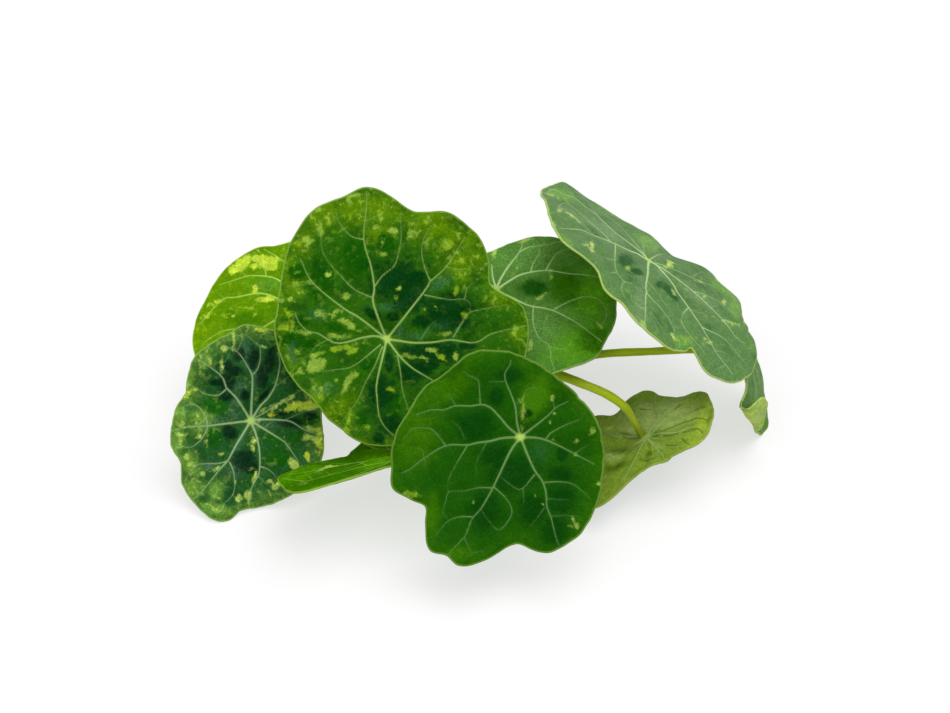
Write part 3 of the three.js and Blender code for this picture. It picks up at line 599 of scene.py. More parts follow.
def blade_points(leaf, u, v, w):
    """Points of the blade, w millimetres above its upper face"""
    p = (u, v, blade_height(leaf, u, v) + w)
    for curl in leaf["curls"]:
        p = roll_up(*p, curl)
    across, up, out = leaf_axes(leaf)
    return np.array(leaf["centre"]) + np.outer(p[0], across) + np.outer(p[1], up) + np.outer(p[2], out)


def thickness(share):
    return BLADE_MIDDLE - (BLADE_MIDDLE - BLADE_RIM) * np.clip(share, 0, 1) ** 2


def smooth(x):
    """From 0 to 1 as x does, levelling off at both"""
    x = np.clip(x, 0, 1)
    return x * x * (3 - 2 * x)


def on_circle(degrees):
    return np.array([math.cos(math.radians(degrees)), math.sin(math.radians(degrees))])


# From the photograph to a blade
def project(points):
    """Pixels of the photograph in which these points show"""
    d = points - CAMERA
    depth = d[:, 1] * math.cos(ELEVATION) - d[:, 2] * math.sin(ELEVATION)
    rise = d[:, 1] * math.sin(ELEVATION) + d[:, 2] * math.cos(ELEVATION)
    return np.stack([PHOTO[0] / 2 + FOCAL * d[:, 0] / depth,
                     PHOTO[1] / 2 - FOCAL * rise / depth], axis=1)


def seen_pixels(leaf, u, v):
    """Pixels in which places on the blade's plan show, on the face that the photograph shows"""
    w = -thickness(share_of_radius(leaf, u, v)) if leaf.get("underside") else 0 * u
    return project(blade_points(leaf, u, v, w))


def find_on_blade(leaf, pixels):
    """The places on a blade's plan that show in these pixels, by stepping there from a grid"""
    turn, share = np.meshgrid(np.arange(0, 360, 6), np.linspace(0.02, 1.0, 22))
    radius = share.ravel() * outline_radius(leaf["outline"], turn.ravel())
    gu, gv = radius * np.cos(np.radians(turn.ravel())), radius * np.sin(np.radians(turn.ravel()))
    far = np.linalg.norm(seen_pixels(leaf, gu, gv)[None] - pixels[:, None], axis=2)
    nearest = far.argmin(axis=1)
    u, v = gu[nearest], gv[nearest]
    step, least, furthest = 0.02, 0.5, 1
    for _ in range(8):
        here = seen_pixels(leaf, u, v)
        du = (seen_pixels(leaf, u + step, v) - here) / step
        dv = (seen_pixels(leaf, u, v + step) - here) / step
        off = pixels - here
        det = du[:, 0] * dv[:, 1] - du[:, 1] * dv[:, 0]
        det = np.where(np.abs(det) < least, least, det)
        move = np.stack([off[:, 0] * dv[:, 1] - off[:, 1] * dv[:, 0],
                         du[:, 0] * off[:, 1] - du[:, 1] * off[:, 0]], axis=1) / det[:, None]
        move = np.clip(move, -furthest, furthest)
        u, v = u + move[:, 0], v + move[:, 1]
    return u, v


def from_window(leaf_name, points):
    """Pixels of the photograph at these points of the leaf's window"""
    left, top, magnification = WINDOWS[leaf_name]
    return np.array([(left + x / magnification, top + y / magnification) for x, y in points])


# Veins
def smooth_line(points, step):
    """A smooth curve through these plan points, in short straight bits of about one length"""
    points = np.asarray(points, float)
    padded = np.vstack([2 * points[0] - points[1], points, 2 * points[-1] - points[-2]])
    out = []
    for a, b, c, d in zip(padded, padded[1:], padded[2:], padded[3:]):
        bits = max(1, int(np.linalg.norm(c - b) / step))
        for t in np.arange(bits) / bits:
            out.append(0.5 * (2 * b + (c - a) * t + (2 * a - 5 * b + 4 * c - d) * t**2
                              + (3 * b - a - 3 * c + d) * t**3))
    out.append(points[-1])
    return np.array(out)


def inside(leaf, line, most=0.97):
    """The part of a line that lies on the blade"""
    share = share_of_radius(leaf, line[:, 0], line[:, 1])
    over = np.nonzero(share > most)[0]
    return line[:over[0] + 1] if len(over) else line


def is_from_middle(rank, line):
    return rank == MAIN and np.hypot(*line[0]) < MIDDLE_REACH


def traced_veins(name, leaf):
    """The veins that the photograph shows, on the blade's plan, and the place where they meet"""
    lines = [(rank, np.stack(find_on_blade(leaf, from_window(name, points)), axis=1))
             for rank, points in VEINS.get(name, [])]
    starts = [line[0] for rank, line in lines if is_from_middle(rank, line)]
    middle = np.mean(starts, axis=0) if starts else np.zeros(2)
    veins = []
    for rank, line in lines:
        if is_from_middle(rank, line):
            line = np.vstack([middle, line[1:]])
        line = inside(leaf, smooth_line(line, VEIN_STEP))
        if len(line) > 2:
            veins.append((rank, line))
    return veins, middle


def open_directions(veins):
    """Directions, in degrees, in which no main vein runs yet"""
    between_veins, most_veins = 42, 9
    taken = []
    for rank, line in veins:
        halfway = line[len(line) // 2]
        if is_from_middle(rank, line):
            taken.append(math.degrees(math.atan2(halfway[1], halfway[0])) % 360)
    taken = sorted(taken)
    if not taken:
        return [20 + 360 / most_veins * k for k in range(most_veins)]
    found = []
    for a, b in zip(taken, taken[1:] + [taken[0] + 360]):
        count = int(round((b - a) / between_veins)) - 1
        found += [a + (b - a) * (k + 1) / (count + 1) for k in range(count)]
    return found


def grown_vein(leaf, middle, degrees, chance):
    """A main vein with its forks, for a stretch of blade that the photograph doesn't show"""
    reach = float(outline_radius(leaf["outline"], [degrees])[0])
    bend = chance.uniform(-7, 7)
    points = []
    for share in np.linspace(0, 0.95, 8):
        turn = degrees + bend * math.sin(3 * share) + chance.uniform(-1.2, 1.2)
        points.append(middle * (1 - share) + share * reach * on_circle(turn))
    main = smooth_line(points, VEIN_STEP)
    grown = [(MAIN, inside(leaf, main))]
    for share, side, rank in ((0.42, 1, BRANCH), (0.55, -1, BRANCH), (0.70, 1, FINE),
                              (0.78, -1, FINE)):
        heading = degrees + side * chance.uniform(26, 38)
        length = (0.93 - share) * reach * chance.uniform(0.85, 1.1)
        branch = [main[int(share * (len(main) - 1))]]
        for _ in range(4):
            branch.append(branch[-1] + length / 4 * on_circle(heading))
            heading -= side * chance.uniform(2, 9)
        line = inside(leaf, smooth_line(branch, VEIN_STEP))
        if len(line) > 2:
            grown.append((rank, line))
    return grown


def leaf_veins(name, leaf):
    """All veins of a blade, traced and grown, and the place where they meet"""
    chance = random.Random(name)
    veins, middle = traced_veins(name, leaf)
    hidden_from, hidden_to = HIDDEN.get(name, (0, 360))
    for degrees in open_directions(veins):
        if hidden_from <= degrees % 360 <= hidden_to:
            veins += grown_vein(leaf, middle, degrees, chance)
    return veins, middle


def vein_gaps(veins, u, v, factor=1.0):
    """Distance from the edge of the nearest vein, and how strong that vein is"""
    starts, ends, widths, weights = [], [], [], []
    for rank, line in veins:
        wide, thin = VEIN_WIDTHS[rank]
        share = np.linspace(0, 1, len(line))
        starts.append(line[:-1])
        ends.append(line[1:])
        widths.append(factor * (wide + (thin - wide) * share[:-1] ** 0.8))
        weights.append(VEIN_WEIGHTS[rank] * (1 - 0.35 * share[:-1]))
    start, end = np.vstack(starts), np.vstack(ends)
    width, weight = np.concatenate(widths), np.concatenate(weights)
    along = end - start
    length2 = np.maximum((along**2).sum(axis=1), 1e-9)
    gap = np.empty(len(u))
    strength = np.empty(len(u))
    batch = 4000
    for k in range(0, len(u), batch):
        du = u[k:k + batch, None] - start[None, :, 0]
        dv = v[k:k + batch, None] - start[None, :, 1]
        t = np.clip((du * along[:, 0] + dv * along[:, 1]) / length2, 0, 1)
        far = np.hypot(du - t * along[:, 0], dv - t * along[:, 1]) - width
        best = far.argmin(axis=1)
        gap[k:k + batch] = far[np.arange(len(best)), best]
        strength[k:k + batch] = weight[best]
    return gap, strength


# Meshes of the blades
def disc_grid(rings):
    """Rings of 6, 12, 18 ... points, as turns in degrees and shares of the radius, and triangles"""
    turns, shares, triangles = [np.zeros(1)], [np.zeros(1)], []
    for ring in range(1, rings + 1):
        k = np.arange(6 * ring)
        turns.append(60 * k / ring)
        shares.append(np.full(6 * ring, ring / rings))
        first = 1 + 3 * ring * (ring - 1)
        outer, outer_next = first + k, first + (k + 1) % (6 * ring)
        if ring == 1:
            triangles.append(np.stack([0 * k, outer, outer_next], axis=1))
            continue
        within = 1 + 3 * (ring - 1) * (ring - 2)
        side, place = k // ring, k % ring
        near = side * (ring - 1) + place
        inner = within + near % (6 * (ring - 1))
        inner_next = within + (near + 1) % (6 * (ring - 1))
        triangles.append(np.stack([inner, outer, outer_next], axis=1))
        between = place < ring - 1
        triangles.append(np.stack([inner, outer_next, inner_next], axis=1)[between])
    return np.concatenate(turns), np.concatenate(shares), np.vstack(triangles)


def rim_strip(fine, coarse, rim, count):
    """Triangles from the last ring of the fine face over the rim to that of the coarse face"""
    k = np.arange(count)
    after = (k + 1) % count
    j = np.arange(count // 2)
    c, d = coarse + j, coarse + (j + 1) % (count // 2)
    r0, r1, r2 = rim + 2 * j, rim + 2 * j + 1, rim + (2 * j + 2) % count
    return np.vstack([np.stack(corners, axis=1) for corners in (
        (fine + k, rim + k, rim + after), (fine + k, rim + after, fine + after),
        (r0, c, r1), (r1, c, d), (r1, d, r2))])


def ripples(degrees, counts, least, chance):
    """Irregular waves round a margin, smaller as they get shorter"""
    height = 0 * degrees
    for count in counts:
        height = height + chance.uniform(least, 1) / count * np.sin(
            np.radians(count * degrees + chance.uniform(0, 360)))
    return height


class Blade:
    """One leaf blade: its veins, its points and what is painted at each point"""

    def __init__(self, name):
        self.name, self.leaf = name, LEAVES[name]
        veins, self.middle = leaf_veins(name, self.leaf)
        self.creases = [vein for vein in veins if vein[0] == CREASE]
        self.veins = [vein for vein in veins if vein[0] != CREASE]
        biggest = max(radius for _, radius in self.leaf["outline"])
        self.rings = 2 * int(round(biggest / FACE_STEP / 2))

    def edge(self, turn):
        """Radius of the margin, with its small ins and outs"""
        return outline_radius(self.leaf["outline"], turn) + ripples(
            turn, EDGE_RIPPLES, 0.3, random.Random(self.name + " margin"))

    def waves(self, share, turn):
        """Height of the small waves that grow towards the margin"""
        return WAVE_HEIGHT * share**4 * ripples(
            turn, WAVE_RIPPLES, 0.5, random.Random(self.name + " waves"))

    def face(self, rings, lower):
        """Points and triangles of the upper or lower face, with their marks"""
        turn, share, triangles = disc_grid(rings)
        edge = self.edge(turn)
        u = share * edge * np.cos(np.radians(turn))
        v = share * edge * np.sin(np.radians(turn))
        margin = (1 - share) * edge
        gap, strength = vein_gaps(self.veins, u, v, self.leaf.get("vein_factor", 1.0))
        quilt = self.leaf.get("quilt", QUILT)
        w = quilt * smooth(gap / QUILT_REACH) * smooth(margin / MARGIN_REACH)
        w = w + self.waves(share, turn)
        if lower:
            w = w + CREASE_DEPTH * smooth(1 - self.crease_gap(u, v) / CREASE_REACH)
            w = w - thickness(share) - RIDGE * strength * smooth(1 - gap / RIDGE_REACH)
            triangles = triangles[:, ::-1]
        marks = self.marks(u, v, gap, strength, margin)
        marks["underside"] = np.full(len(u), 1.0 if lower else 0.0)
        return blade_points(self.leaf, u, v, w), triangles, marks

    def crease_gap(self, u, v):
        if not self.creases:
            return np.full(len(u), FAR)
        return np.minimum(vein_gaps(self.creases, u, v)[0], FAR)

    def marks(self, u, v, gap, strength, margin):
        marks = dict(vein_gap=np.minimum(gap, FAR), vein_strength=strength, margin_gap=margin,
                     from_centre=np.hypot(u - self.middle[0], v - self.middle[1]),
                     crease_gap=self.crease_gap(u, v), plan=np.stack([u, v, 0 * u], axis=1))
        marks.update(patches(self.name, seen_pixels(self.leaf, u, v)))
        return marks

    def rim_points(self):
        """The outermost line of points, half way down the blade's edge"""
        turn = 60 * np.arange(6 * self.rings) / self.rings
        edge = self.edge(turn) + RIM_SWELL
        u, v = edge * np.cos(np.radians(turn)), edge * np.sin(np.radians(turn))
        return blade_points(self.leaf, u, v, self.waves(0 * turn + 1, turn) - BLADE_RIM / 2)

    def mesh(self):
        """Both faces and the rim between them, closed. The face that shows has finer triangles."""
        fine_below = bool(self.leaf.get("underside"))
        half = self.rings // 2
        top, top_faces, top_marks = self.face(half if fine_below else self.rings, False)
        low, low_faces, low_marks = self.face(self.rings if fine_below else half, True)
        rim = self.rim_points()
        count, first_rim = len(rim), len(top) + len(low)
        fine_end, coarse_end = (first_rim, len(top)) if fine_below else (len(top), first_rim)
        strip = rim_strip(fine_end - count, coarse_end - count // 2, first_rim, count)
        faces = [top_faces, low_faces + len(top), strip[:, ::-1] if fine_below else strip]
        fine_marks = low_marks if fine_below else top_marks
        marks = {key: np.concatenate([top_marks[key], low_marks[key], fine_marks[key][-count:]])
                 for key in top_marks}
        marks["underside"][first_rim:] = 0.5
        return np.vstack([top, low, rim]), np.vstack(faces).tolist(), marks


def patches(name, pixels):
    """How far into the leaf's patches each point lies: millimetres for the sharp, shares for the soft
    """
    left, top, magnification = WINDOWS.get(name, (0, 0, 1))
    sharp = {kind: np.full(len(pixels), -1.0) for kind in ("cream", "yellow")}
    # The soft patches are painted shade, painted light over paler tone, a painted sheen over a pale
    # bloom, and a fresher green.
    soft = {kind: np.zeros(len(pixels)) for kind in ("shade_and_dark_tone", "light_and_pale_tone", "sheen_and_bloom", "fresh")}
    for kind, ovals in PATCHES.get(name, {}).items():
        for x, y, long, short, *turned in ovals:
            dx = pixels[:, 0] - left - x / magnification
            dy = pixels[:, 1] - top - y / magnification
            c, s = on_circle(sum(turned))
            a = (dx * c + dy * s) * magnification / long
            b = (dy * c - dx * s) * magnification / short
            far = np.hypot(a, b)
            if kind in sharp:
                depth = (PATCH_SWELL - far) * min(long, short) / magnification / PIXELS_PER_MM
                sharp[kind] = np.maximum(sharp[kind], depth)
            else:
                soft[kind] = np.maximum(soft[kind], np.exp(-far**2))
    return {**sharp, **soft}


def rest_on_floor(mesh):
    """Lifts what would dip into the floor, and keeps a blade's two faces apart there"""
    points = np.empty(3 * len(mesh.vertices), np.float32)
    normals = np.empty(3 * len(mesh.vertices), np.float32)
    mesh.vertices.foreach_get("co", points)
    mesh.vertex_normals.foreach_get("vector", normals)
    lowest = np.where(normals[2::3] > 0, FACES_APART * MM, 0)
    points[2::3] = np.where(points[2::3] < lowest, lowest, points[2::3])
    mesh.vertices.foreach_set("co", points)


def make_object(name, points, faces, marks, material):
    """A smooth-shaded mesh object in metres, in the CAD's frame"""
    mesh = bpy.data.meshes.new(name)
    mesh.from_pydata(((points - ORIGIN) * MM).tolist(), [], faces)
    rest_on_floor(mesh)
    mesh.polygons.foreach_set("use_smooth", [True] * len(mesh.polygons))
    for key, values in marks.items():
        kind, field = ("FLOAT_VECTOR", "vector") if values.ndim == 2 else ("FLOAT", "value")
        layer = mesh.attributes.new(key, kind, "POINT")
        layer.data.foreach_set(field, values.astype(np.float32).ravel())
    mesh.materials.append(material)
    mesh.update()
    piece = bpy.data.objects.new(name, mesh)
    bpy.context.scene.collection.objects.link(piece)
    return piece


# Stems and petioles
def centripetal(points, step):
    """A curve through these points with its length's share between them, as the CAD's curves"""
    p = np.asarray(points, float)
    ends = np.vstack([2 * p[0] - p[1], p, 2 * p[-1] - p[-2]])
    out, share = [], []
    for i in range(len(p) - 1):
        a, b, c, d = ends[i:i + 4]
        t1, t2, t3 = (max(np.linalg.norm(q - r), 1e-4) ** 0.5 for q, r in ((b, a), (c, b), (d, c)))
        m1 = ((b - a) / t1 - (c - a) / (t1 + t2) + (c - b) / t2) * t2
        m2 = ((c - b) / t2 - (d - b) / (t2 + t3) + (d - c) / t3) * t2
        bits = max(2, int(np.linalg.norm(c - b) / step))
        for t in np.arange(bits + (i == len(p) - 2)) / bits:
            out.append(b + m1 * t + (3 * (c - b) - 2 * m1 - m2) * t**2
                       + (2 * (b - c) + m1 + m2) * t**3)
            share.append(i + t)
    return np.array(out), np.array(share)


class Tube:
    """A stem or petiole: its middle line, its radii and the frame that goes along it"""

    def __init__(self, path, chance, knots=()):
        self.line, share = centripetal([p[:3] for p in path], TUBE_STEP)
        self.radius = np.interp(share, range(len(path)), [p[3] for p in path])
        steps = np.linalg.norm(np.diff(self.line, axis=0), axis=1)
        self.along = np.concatenate([[0], np.cumsum(steps)])
        for knot in knots:
            near = np.linalg.norm(self.line - np.array(knot), axis=1)
            self.radius = self.radius * (1 + KNOT_SWELL * np.exp(-(near / KNOT_REACH) ** 2))
        wander = chance.uniform(0, 6.3)
        swell = 1
        for k, (depth, pace) in enumerate(TUBE_SWELLS, 1):
            swell = swell + depth * np.sin(self.along * pace + k * wander)
        self.radius = self.radius * swell
        self.forward = np.gradient(self.line, axis=0)
        self.forward /= np.linalg.norm(self.forward, axis=1)[:, None]
        side = np.cross(self.forward[0], [0, 0, 1.0])
        sides = []
        for f in self.forward:
            side = side - f * side.dot(f)
            side = side / np.linalg.norm(side)
            sides.append(side)
        self.side = np.array(sides)
        self.over = np.cross(self.forward, self.side)

    def ring(self, i, share, out):
        """Points round the tube, drawn in to a share of its radius and moved along it"""
        turn = 2 * np.pi * np.arange(TUBE_SIDES) / TUBE_SIDES
        ridges = 1
        for depth, count, phase in TUBE_RIDGES:
            ridges = ridges + depth * np.cos(count * turn + phase)
        reach = self.radius[i] * ridges * share
        return (self.line[i] + out * self.forward[i] + np.outer(reach * np.cos(turn), self.side[i])
                + np.outer(reach * np.sin(turn), self.over[i]))

    def shell(self):
        """A closed tube, with ends that are rounded off and slightly hollow where they were cut"""
        last = len(self.line) - 1
        start = [self.ring(0, share, -out) for share, out in CUT_END]
        end = [self.ring(last, share, out) for share, out in CUT_END]
        points = np.vstack(start[::-1] + [self.ring(i, 1, 0) for i in range(last + 1)] + end)
        middle = np.array([points[:TUBE_SIDES].mean(axis=0), points[-TUBE_SIDES:].mean(axis=0)])
        count = len(points)
        faces = []
        for first in range(0, count - TUBE_SIDES, TUBE_SIDES):
            for k in range(TUBE_SIDES):
                a, b = first + k, first + (k + 1) % TUBE_SIDES
                faces.append((a, b, b + TUBE_SIDES, a + TUBE_SIDES))
        for k in range(TUBE_SIDES):
            after = (k + 1) % TUBE_SIDES
            faces.append((after, k, count))
            faces.append((count - TUBE_SIDES + k, count - TUBE_SIDES + after, count + 1))
        return np.vstack([points, middle]), faces


def petiole_path(leaf_name, drop, tip, path):
    """From inside its blade, square to it at first, then along its own points"""
    leaf = LEAVES[leaf_name]
    zero = np.zeros(1)
    start = blade_points(leaf, zero, zero, -PETIOLE_SINK * BLADE_MIDDLE)[0]
    below = blade_points(leaf, zero, zero, -1.0 - drop)[0]
    return [(*start, tip * PETIOLE_FLARE), (*below, tip), *path]


def shoot_tubes(name):
    shoot, chance = SHOOTS[name], random.Random(name)
    paths = [petiole_path(*petiole) for petiole in shoot["petioles"]]
    tubes = [Tube(shoot["stem"], chance, [path[-1][:3] for path in paths])]
    return tubes + [Tube(path, chance) for path in paths]


def joined_shells(tubes):
    """One closed mesh made of several tubes"""
    shells = []
    for tube in tubes:
        points, faces = tube.shell()
        mesh = bpy.data.meshes.new("shell")
        mesh.from_pydata(points.tolist(), [], faces)
        shell = bpy.data.objects.new("shell", mesh)
        bpy.context.scene.collection.objects.link(shell)
        shells.append(shell)
    for other in shells[1:]:
        union = shells[0].modifiers.new("union", "BOOLEAN")
        union.operation = "UNION"
        union.solver = "EXACT"
        union.object = other
    bpy.context.view_layer.update()
    evaluated = shells[0].evaluated_get(bpy.context.evaluated_depsgraph_get())
    mesh = bpy.data.meshes.new_from_object(evaluated)
    points = np.empty(len(mesh.vertices) * 3, np.float32)
    mesh.vertices.foreach_get("co", points)
    faces = [tuple(face.vertices) for face in mesh.polygons]
    for shell in shells:
        bpy.data.objects.remove(shell)
    return points.reshape(-1, 3).astype(float), faces


def stem_marks(tubes, points):
    """Place along and round the nearest tube, and how near the point is to a cut end"""
    apart = 60   # so that no two tubes have the same grain
    grain_radius, least_reach = 1.2, 0.05
    pith_edge, pith_fade = 1.25, 1.3
    line = np.vstack([tube.line for tube in tubes])
    side = np.vstack([tube.side for tube in tubes])
    over = np.vstack([tube.over for tube in tubes])
    along = np.concatenate([tube.along + apart * k for k, tube in enumerate(tubes)])
    height = np.concatenate([tube.along / tube.along[-1] if k else 0 * tube.along + 1.0
                             for k, tube in enumerate(tubes)])
    radius = np.concatenate([tube.radius for tube in tubes])
    far = np.linalg.norm(points[:, None] - line[None], axis=2) - radius
    best = far.argmin(axis=1)
    off = points - line[best]
    x, y = (off * side[best]).sum(axis=1), (off * over[best]).sum(axis=1)
    reach = np.hypot(x, y)
    safe = np.maximum(reach, least_reach)
    grain = np.stack([grain_radius * x / safe, grain_radius * y / safe, along[best]], axis=1)
    cut = tubes[0].line[0]
    depth = (points - cut) @ -tubes[0].forward[0]
    near_cut = np.linalg.norm(points - cut, axis=1) < CUT_REACH
    near_cut = np.where(near_cut, smooth(1 + depth / CUT_EDGE), 0)
    pith = near_cut * smooth(pith_edge - reach / tubes[0].radius[0] * pith_fade)
    return dict(grain=grain, down=height[best], cut=near_cut, pith=pith)


# Materials
def linear(red, green, blue):
    """A colour as seen on a screen, 0 to 255, in the renderer's units"""
    def channel(value):
        value = value / 255
        return value / 12.92 if value <= 0.04045 else ((value + 0.055) / 1.055) ** 2.4
    return (channel(red), channel(green), channel(blue), 1.0)


class Shade:
    """Builds the nodes of one material, most of them with one call each"""

    def __init__(self, name, roughness, specular):
        self.material = bpy.data.materials.new(name)
        self.material.use_nodes = True
        self.tree = self.material.node_tree
        self.shader = self.tree.nodes["Principled BSDF"]
        self.shader.inputs["Roughness"].default_value = roughness
        self.shader.inputs["Specular IOR Level"].default_value = specular

    def put(self, socket, value):
        if isinstance(value, bpy.types.NodeSocket):
            self.tree.links.new(value, socket)
        else:
            socket.default_value = value

    def mark(self, name, vector=False):
        node = self.tree.nodes.new("ShaderNodeAttribute")
        node.attribute_name = name
        return node.outputs["Vector" if vector else "Fac"]

    def math(self, operation, a, b=0.0, c=0.0):
        node = self.tree.nodes.new("ShaderNodeMath")
        node.operation = operation
        for socket, value in zip(node.inputs, (a, b, c)):
            self.put(socket, value)
        return node.outputs[0]

    def times(self, a, b):
        return self.math("MULTIPLY", a, b)

    def scaled(self, value, factor, offset):
        return self.math("MULTIPLY_ADD", value, factor, offset)

    def between(self, value, low, high):
        """0 below low and 1 above high, smooth between; the other way round if low is above high"""
        node = self.tree.nodes.new("ShaderNodeMapRange")
        node.interpolation_type = "SMOOTHSTEP"
        start, end, first, last = (low, high, 0.0, 1.0) if low < high else (high, low, 1.0, 0.0)
        self.put(node.inputs["Value"], value)
        for key, number in (("From Min", start), ("From Max", end), ("To Min", first),
                            ("To Max", last)):
            node.inputs[key].default_value = number
        return node.outputs["Result"]

    def mix(self, factor, a, b, blend="MIX"):
        node = self.tree.nodes.new("ShaderNodeMix")
        node.data_type = "RGBA"
        node.blend_type = blend
        self.put(node.inputs["Factor"], factor)
        self.put(node.inputs[6], a)
        self.put(node.inputs[7], b)
        return node.outputs[2]

    def shaded(self, colour, share):
        """The colour made lighter or darker by a number"""
        return self.mix(1.0, colour, share, "MULTIPLY")

    def noise(self, vector, scale, detail=2.0, stretch=(1, 1, 1)):
        if stretch != (1, 1, 1):
            mapping = self.tree.nodes.new("ShaderNodeMapping")
            self.put(mapping.inputs["Vector"], vector)
            mapping.inputs["Scale"].default_value = stretch
            vector = mapping.outputs["Vector"]
        node = self.tree.nodes.new("ShaderNodeTexNoise")
        self.put(node.inputs["Vector"], vector)
        node.inputs["Scale"].default_value = scale
        node.inputs["Detail"].default_value = detail
        return node.outputs["Fac"]

    def warped(self, vector, scale, reach):
        """The same places, pushed about by noise, so that cells come out uneven"""
        noise = self.tree.nodes.new("ShaderNodeTexNoise")
        self.put(noise.inputs["Vector"], vector)
        noise.inputs["Scale"].default_value = scale
        add = self.tree.nodes.new("ShaderNodeVectorMath")
        add.operation = "MULTIPLY_ADD"
        self.put(add.inputs[0], noise.outputs["Color"])
        add.inputs[1].default_value = (reach, reach, reach)
        self.put(add.inputs[2], vector)
        return add.outputs[0]

    def cell_edge(self, vector, scale):
        node = self.tree.nodes.new("ShaderNodeTexVoronoi")
        node.feature = "DISTANCE_TO_EDGE"
        self.put(node.inputs["Vector"], vector)
        node.inputs["Scale"].default_value = scale
        return node.outputs["Distance"]

    def cell_value(self, vector, scale):
        node = self.tree.nodes.new("ShaderNodeTexVoronoi")
        self.put(node.inputs["Vector"], vector)
        node.inputs["Scale"].default_value = scale
        split = self.tree.nodes.new("ShaderNodeSeparateColor")
        self.put(split.inputs[0], node.outputs["Color"])
        return split.outputs[0]

    def bump(self, height, depth):
        node = self.tree.nodes.new("ShaderNodeBump")
        node.inputs["Strength"].default_value = 1.0
        node.inputs["Distance"].default_value = depth
        self.put(node.inputs["Height"], height)
        self.put(self.shader.inputs["Normal"], node.outputs["Normal"])


# How each leaf looks in the photograph, with its colours as red, green and blue from 0 to 255
# mottle, flecks, speckle, veins, network, margin: how strong each is. gloss: of its skin.
# rim_width: of the pale line along its margin, in mm. below: its underside, where that shows.
# A number that a leaf doesn't give is the usual one.
# Each leaf's darkest green is painted shade and darker random tone, its lighter green painted light
# over paler tone, and its greyish sheen colour a painted sheen over a pale bloom.
USUAL_LOOK = dict(mottle=0.8, gloss=0.02, flecks=0.0, speckle=0.3, veins=1.0, network=0.2,
                  margin=0.3, rim_width=0.18)
LOOKS = {
    "leaf_large_left": dict(
        base=(38, 90, 6), shade_and_dark_tone=(3, 53, 9), fresh=(18, 76, 0), light_and_pale_tone=(80, 120, 2),
        vein=(134, 168, 84), cream=(140, 172, 62), yellow=(132, 166, 30), sheen_and_bloom=(60, 104, 72),
        rim=(126, 160, 60), spark=(104, 148, 34), flecks=0.65, speckle=0.45, margin=0.4),
    "leaf_front": dict(
        mottle=0.45, base=(23, 77, 2), shade_and_dark_tone=(8, 60, 3), fresh=(54, 106, 4), light_and_pale_tone=(48, 98, 0),
        vein=(100, 138, 74), cream=(142, 166, 72), yellow=(120, 158, 34), sheen_and_bloom=(38, 84, 44),
        rim=(104, 138, 54), spark=(60, 106, 10), veins=0.95, network=0.15, margin=0.45,
        rim_width=0.24),
    "leaf_lower_left": dict(
        mottle=0.6, gloss=0.05, base=(26, 76, 26), shade_and_dark_tone=(0, 36, 12), fresh=(14, 78, 0),
        light_and_pale_tone=(92, 132, 46), vein=(138, 170, 116), cream=(166, 190, 86), yellow=(178, 198, 54),
        sheen_and_bloom=(69, 99, 77), rim=(130, 166, 70), spark=(116, 156, 70), flecks=0.6, speckle=0.5,
        network=0.4, margin=0.5),
    # Painted brighter than its own green, for the light that shines through it from behind
    "leaf_back_left": dict(
        base=(86, 132, 0), shade_and_dark_tone=(62, 112, 0), fresh=(74, 126, 0), light_and_pale_tone=(94, 134, 0),
        vein=(168, 206, 84), cream=(196, 220, 64), yellow=(150, 190, 20), sheen_and_bloom=(78, 138, 52),
        rim=(160, 196, 60), spark=(140, 184, 24), flecks=0.4, rim_width=0.14),
    "leaf_back_middle": dict(
        mottle=0.45, gloss=0.04, base=(74, 122, 42), shade_and_dark_tone=(18, 76, 4), fresh=(52, 108, 4),
        light_and_pale_tone=(84, 146, 20), vein=(172, 206, 136), cream=(160, 190, 90), yellow=(120, 170, 40),
        sheen_and_bloom=(107, 152, 75), rim=(150, 180, 96), spark=(86, 138, 44), veins=1.15, network=0.25,
        margin=0.2),
    "leaf_upper_right": dict(
        mottle=0.7, gloss=0.06, base=(83, 119, 65), shade_and_dark_tone=(34, 82, 32), fresh=(68, 118, 38),
        light_and_pale_tone=(98, 142, 58), vein=(168, 200, 136), cream=(178, 204, 104), yellow=(150, 186, 84),
        sheen_and_bloom=(120, 148, 102), rim=(176, 198, 104), spark=(112, 154, 84), flecks=0.15, speckle=0.4,
        veins=1.05, network=0.25, margin=0.2, rim_width=0.16),
    "leaf_turned_over": dict(
        gloss=0.03, base=(52, 100, 24), shade_and_dark_tone=(72, 100, 6), fresh=(60, 110, 20), light_and_pale_tone=(146, 168, 48),
        vein=(124, 154, 72), cream=(160, 180, 90), yellow=(150, 180, 60), sheen_and_bloom=(152, 172, 94),
        rim=(140, 164, 76), spark=(130, 156, 60), speckle=0.2, veins=0.6, rim_width=0.12,
        below=(110, 134, 40)),
    "leaf_low_front": dict(
        gloss=0.0, base=(52, 104, 0), shade_and_dark_tone=(24, 76, 0), fresh=(40, 92, 0), light_and_pale_tone=(76, 136, 0),
        vein=(138, 178, 70), cream=(176, 200, 96), yellow=(140, 176, 40), sheen_and_bloom=(90, 134, 70),
        rim=(136, 168, 56), spark=(100, 146, 30), margin=0.2, rim_width=0.14),
    "leaf_right_edge": dict(
        gloss=0.06, base=(78, 121, 46), shade_and_dark_tone=(46, 92, 30), fresh=(66, 114, 26), light_and_pale_tone=(104, 146, 54),
        vein=(140, 178, 118), cream=(168, 196, 100), yellow=(150, 180, 60), sheen_and_bloom=(96, 140, 84),
        rim=(160, 184, 90), spark=(120, 160, 90), flecks=0.1, speckle=0.4, veins=0.5, network=0.3,
        rim_width=0.2, below=(150, 176, 80)),
}
CENTRE_COLOUR = (176, 206, 92)
UNDERSIDE_COLOUR = (130, 160, 96)
UNDERSIDE_VEIN = (168, 194, 126)
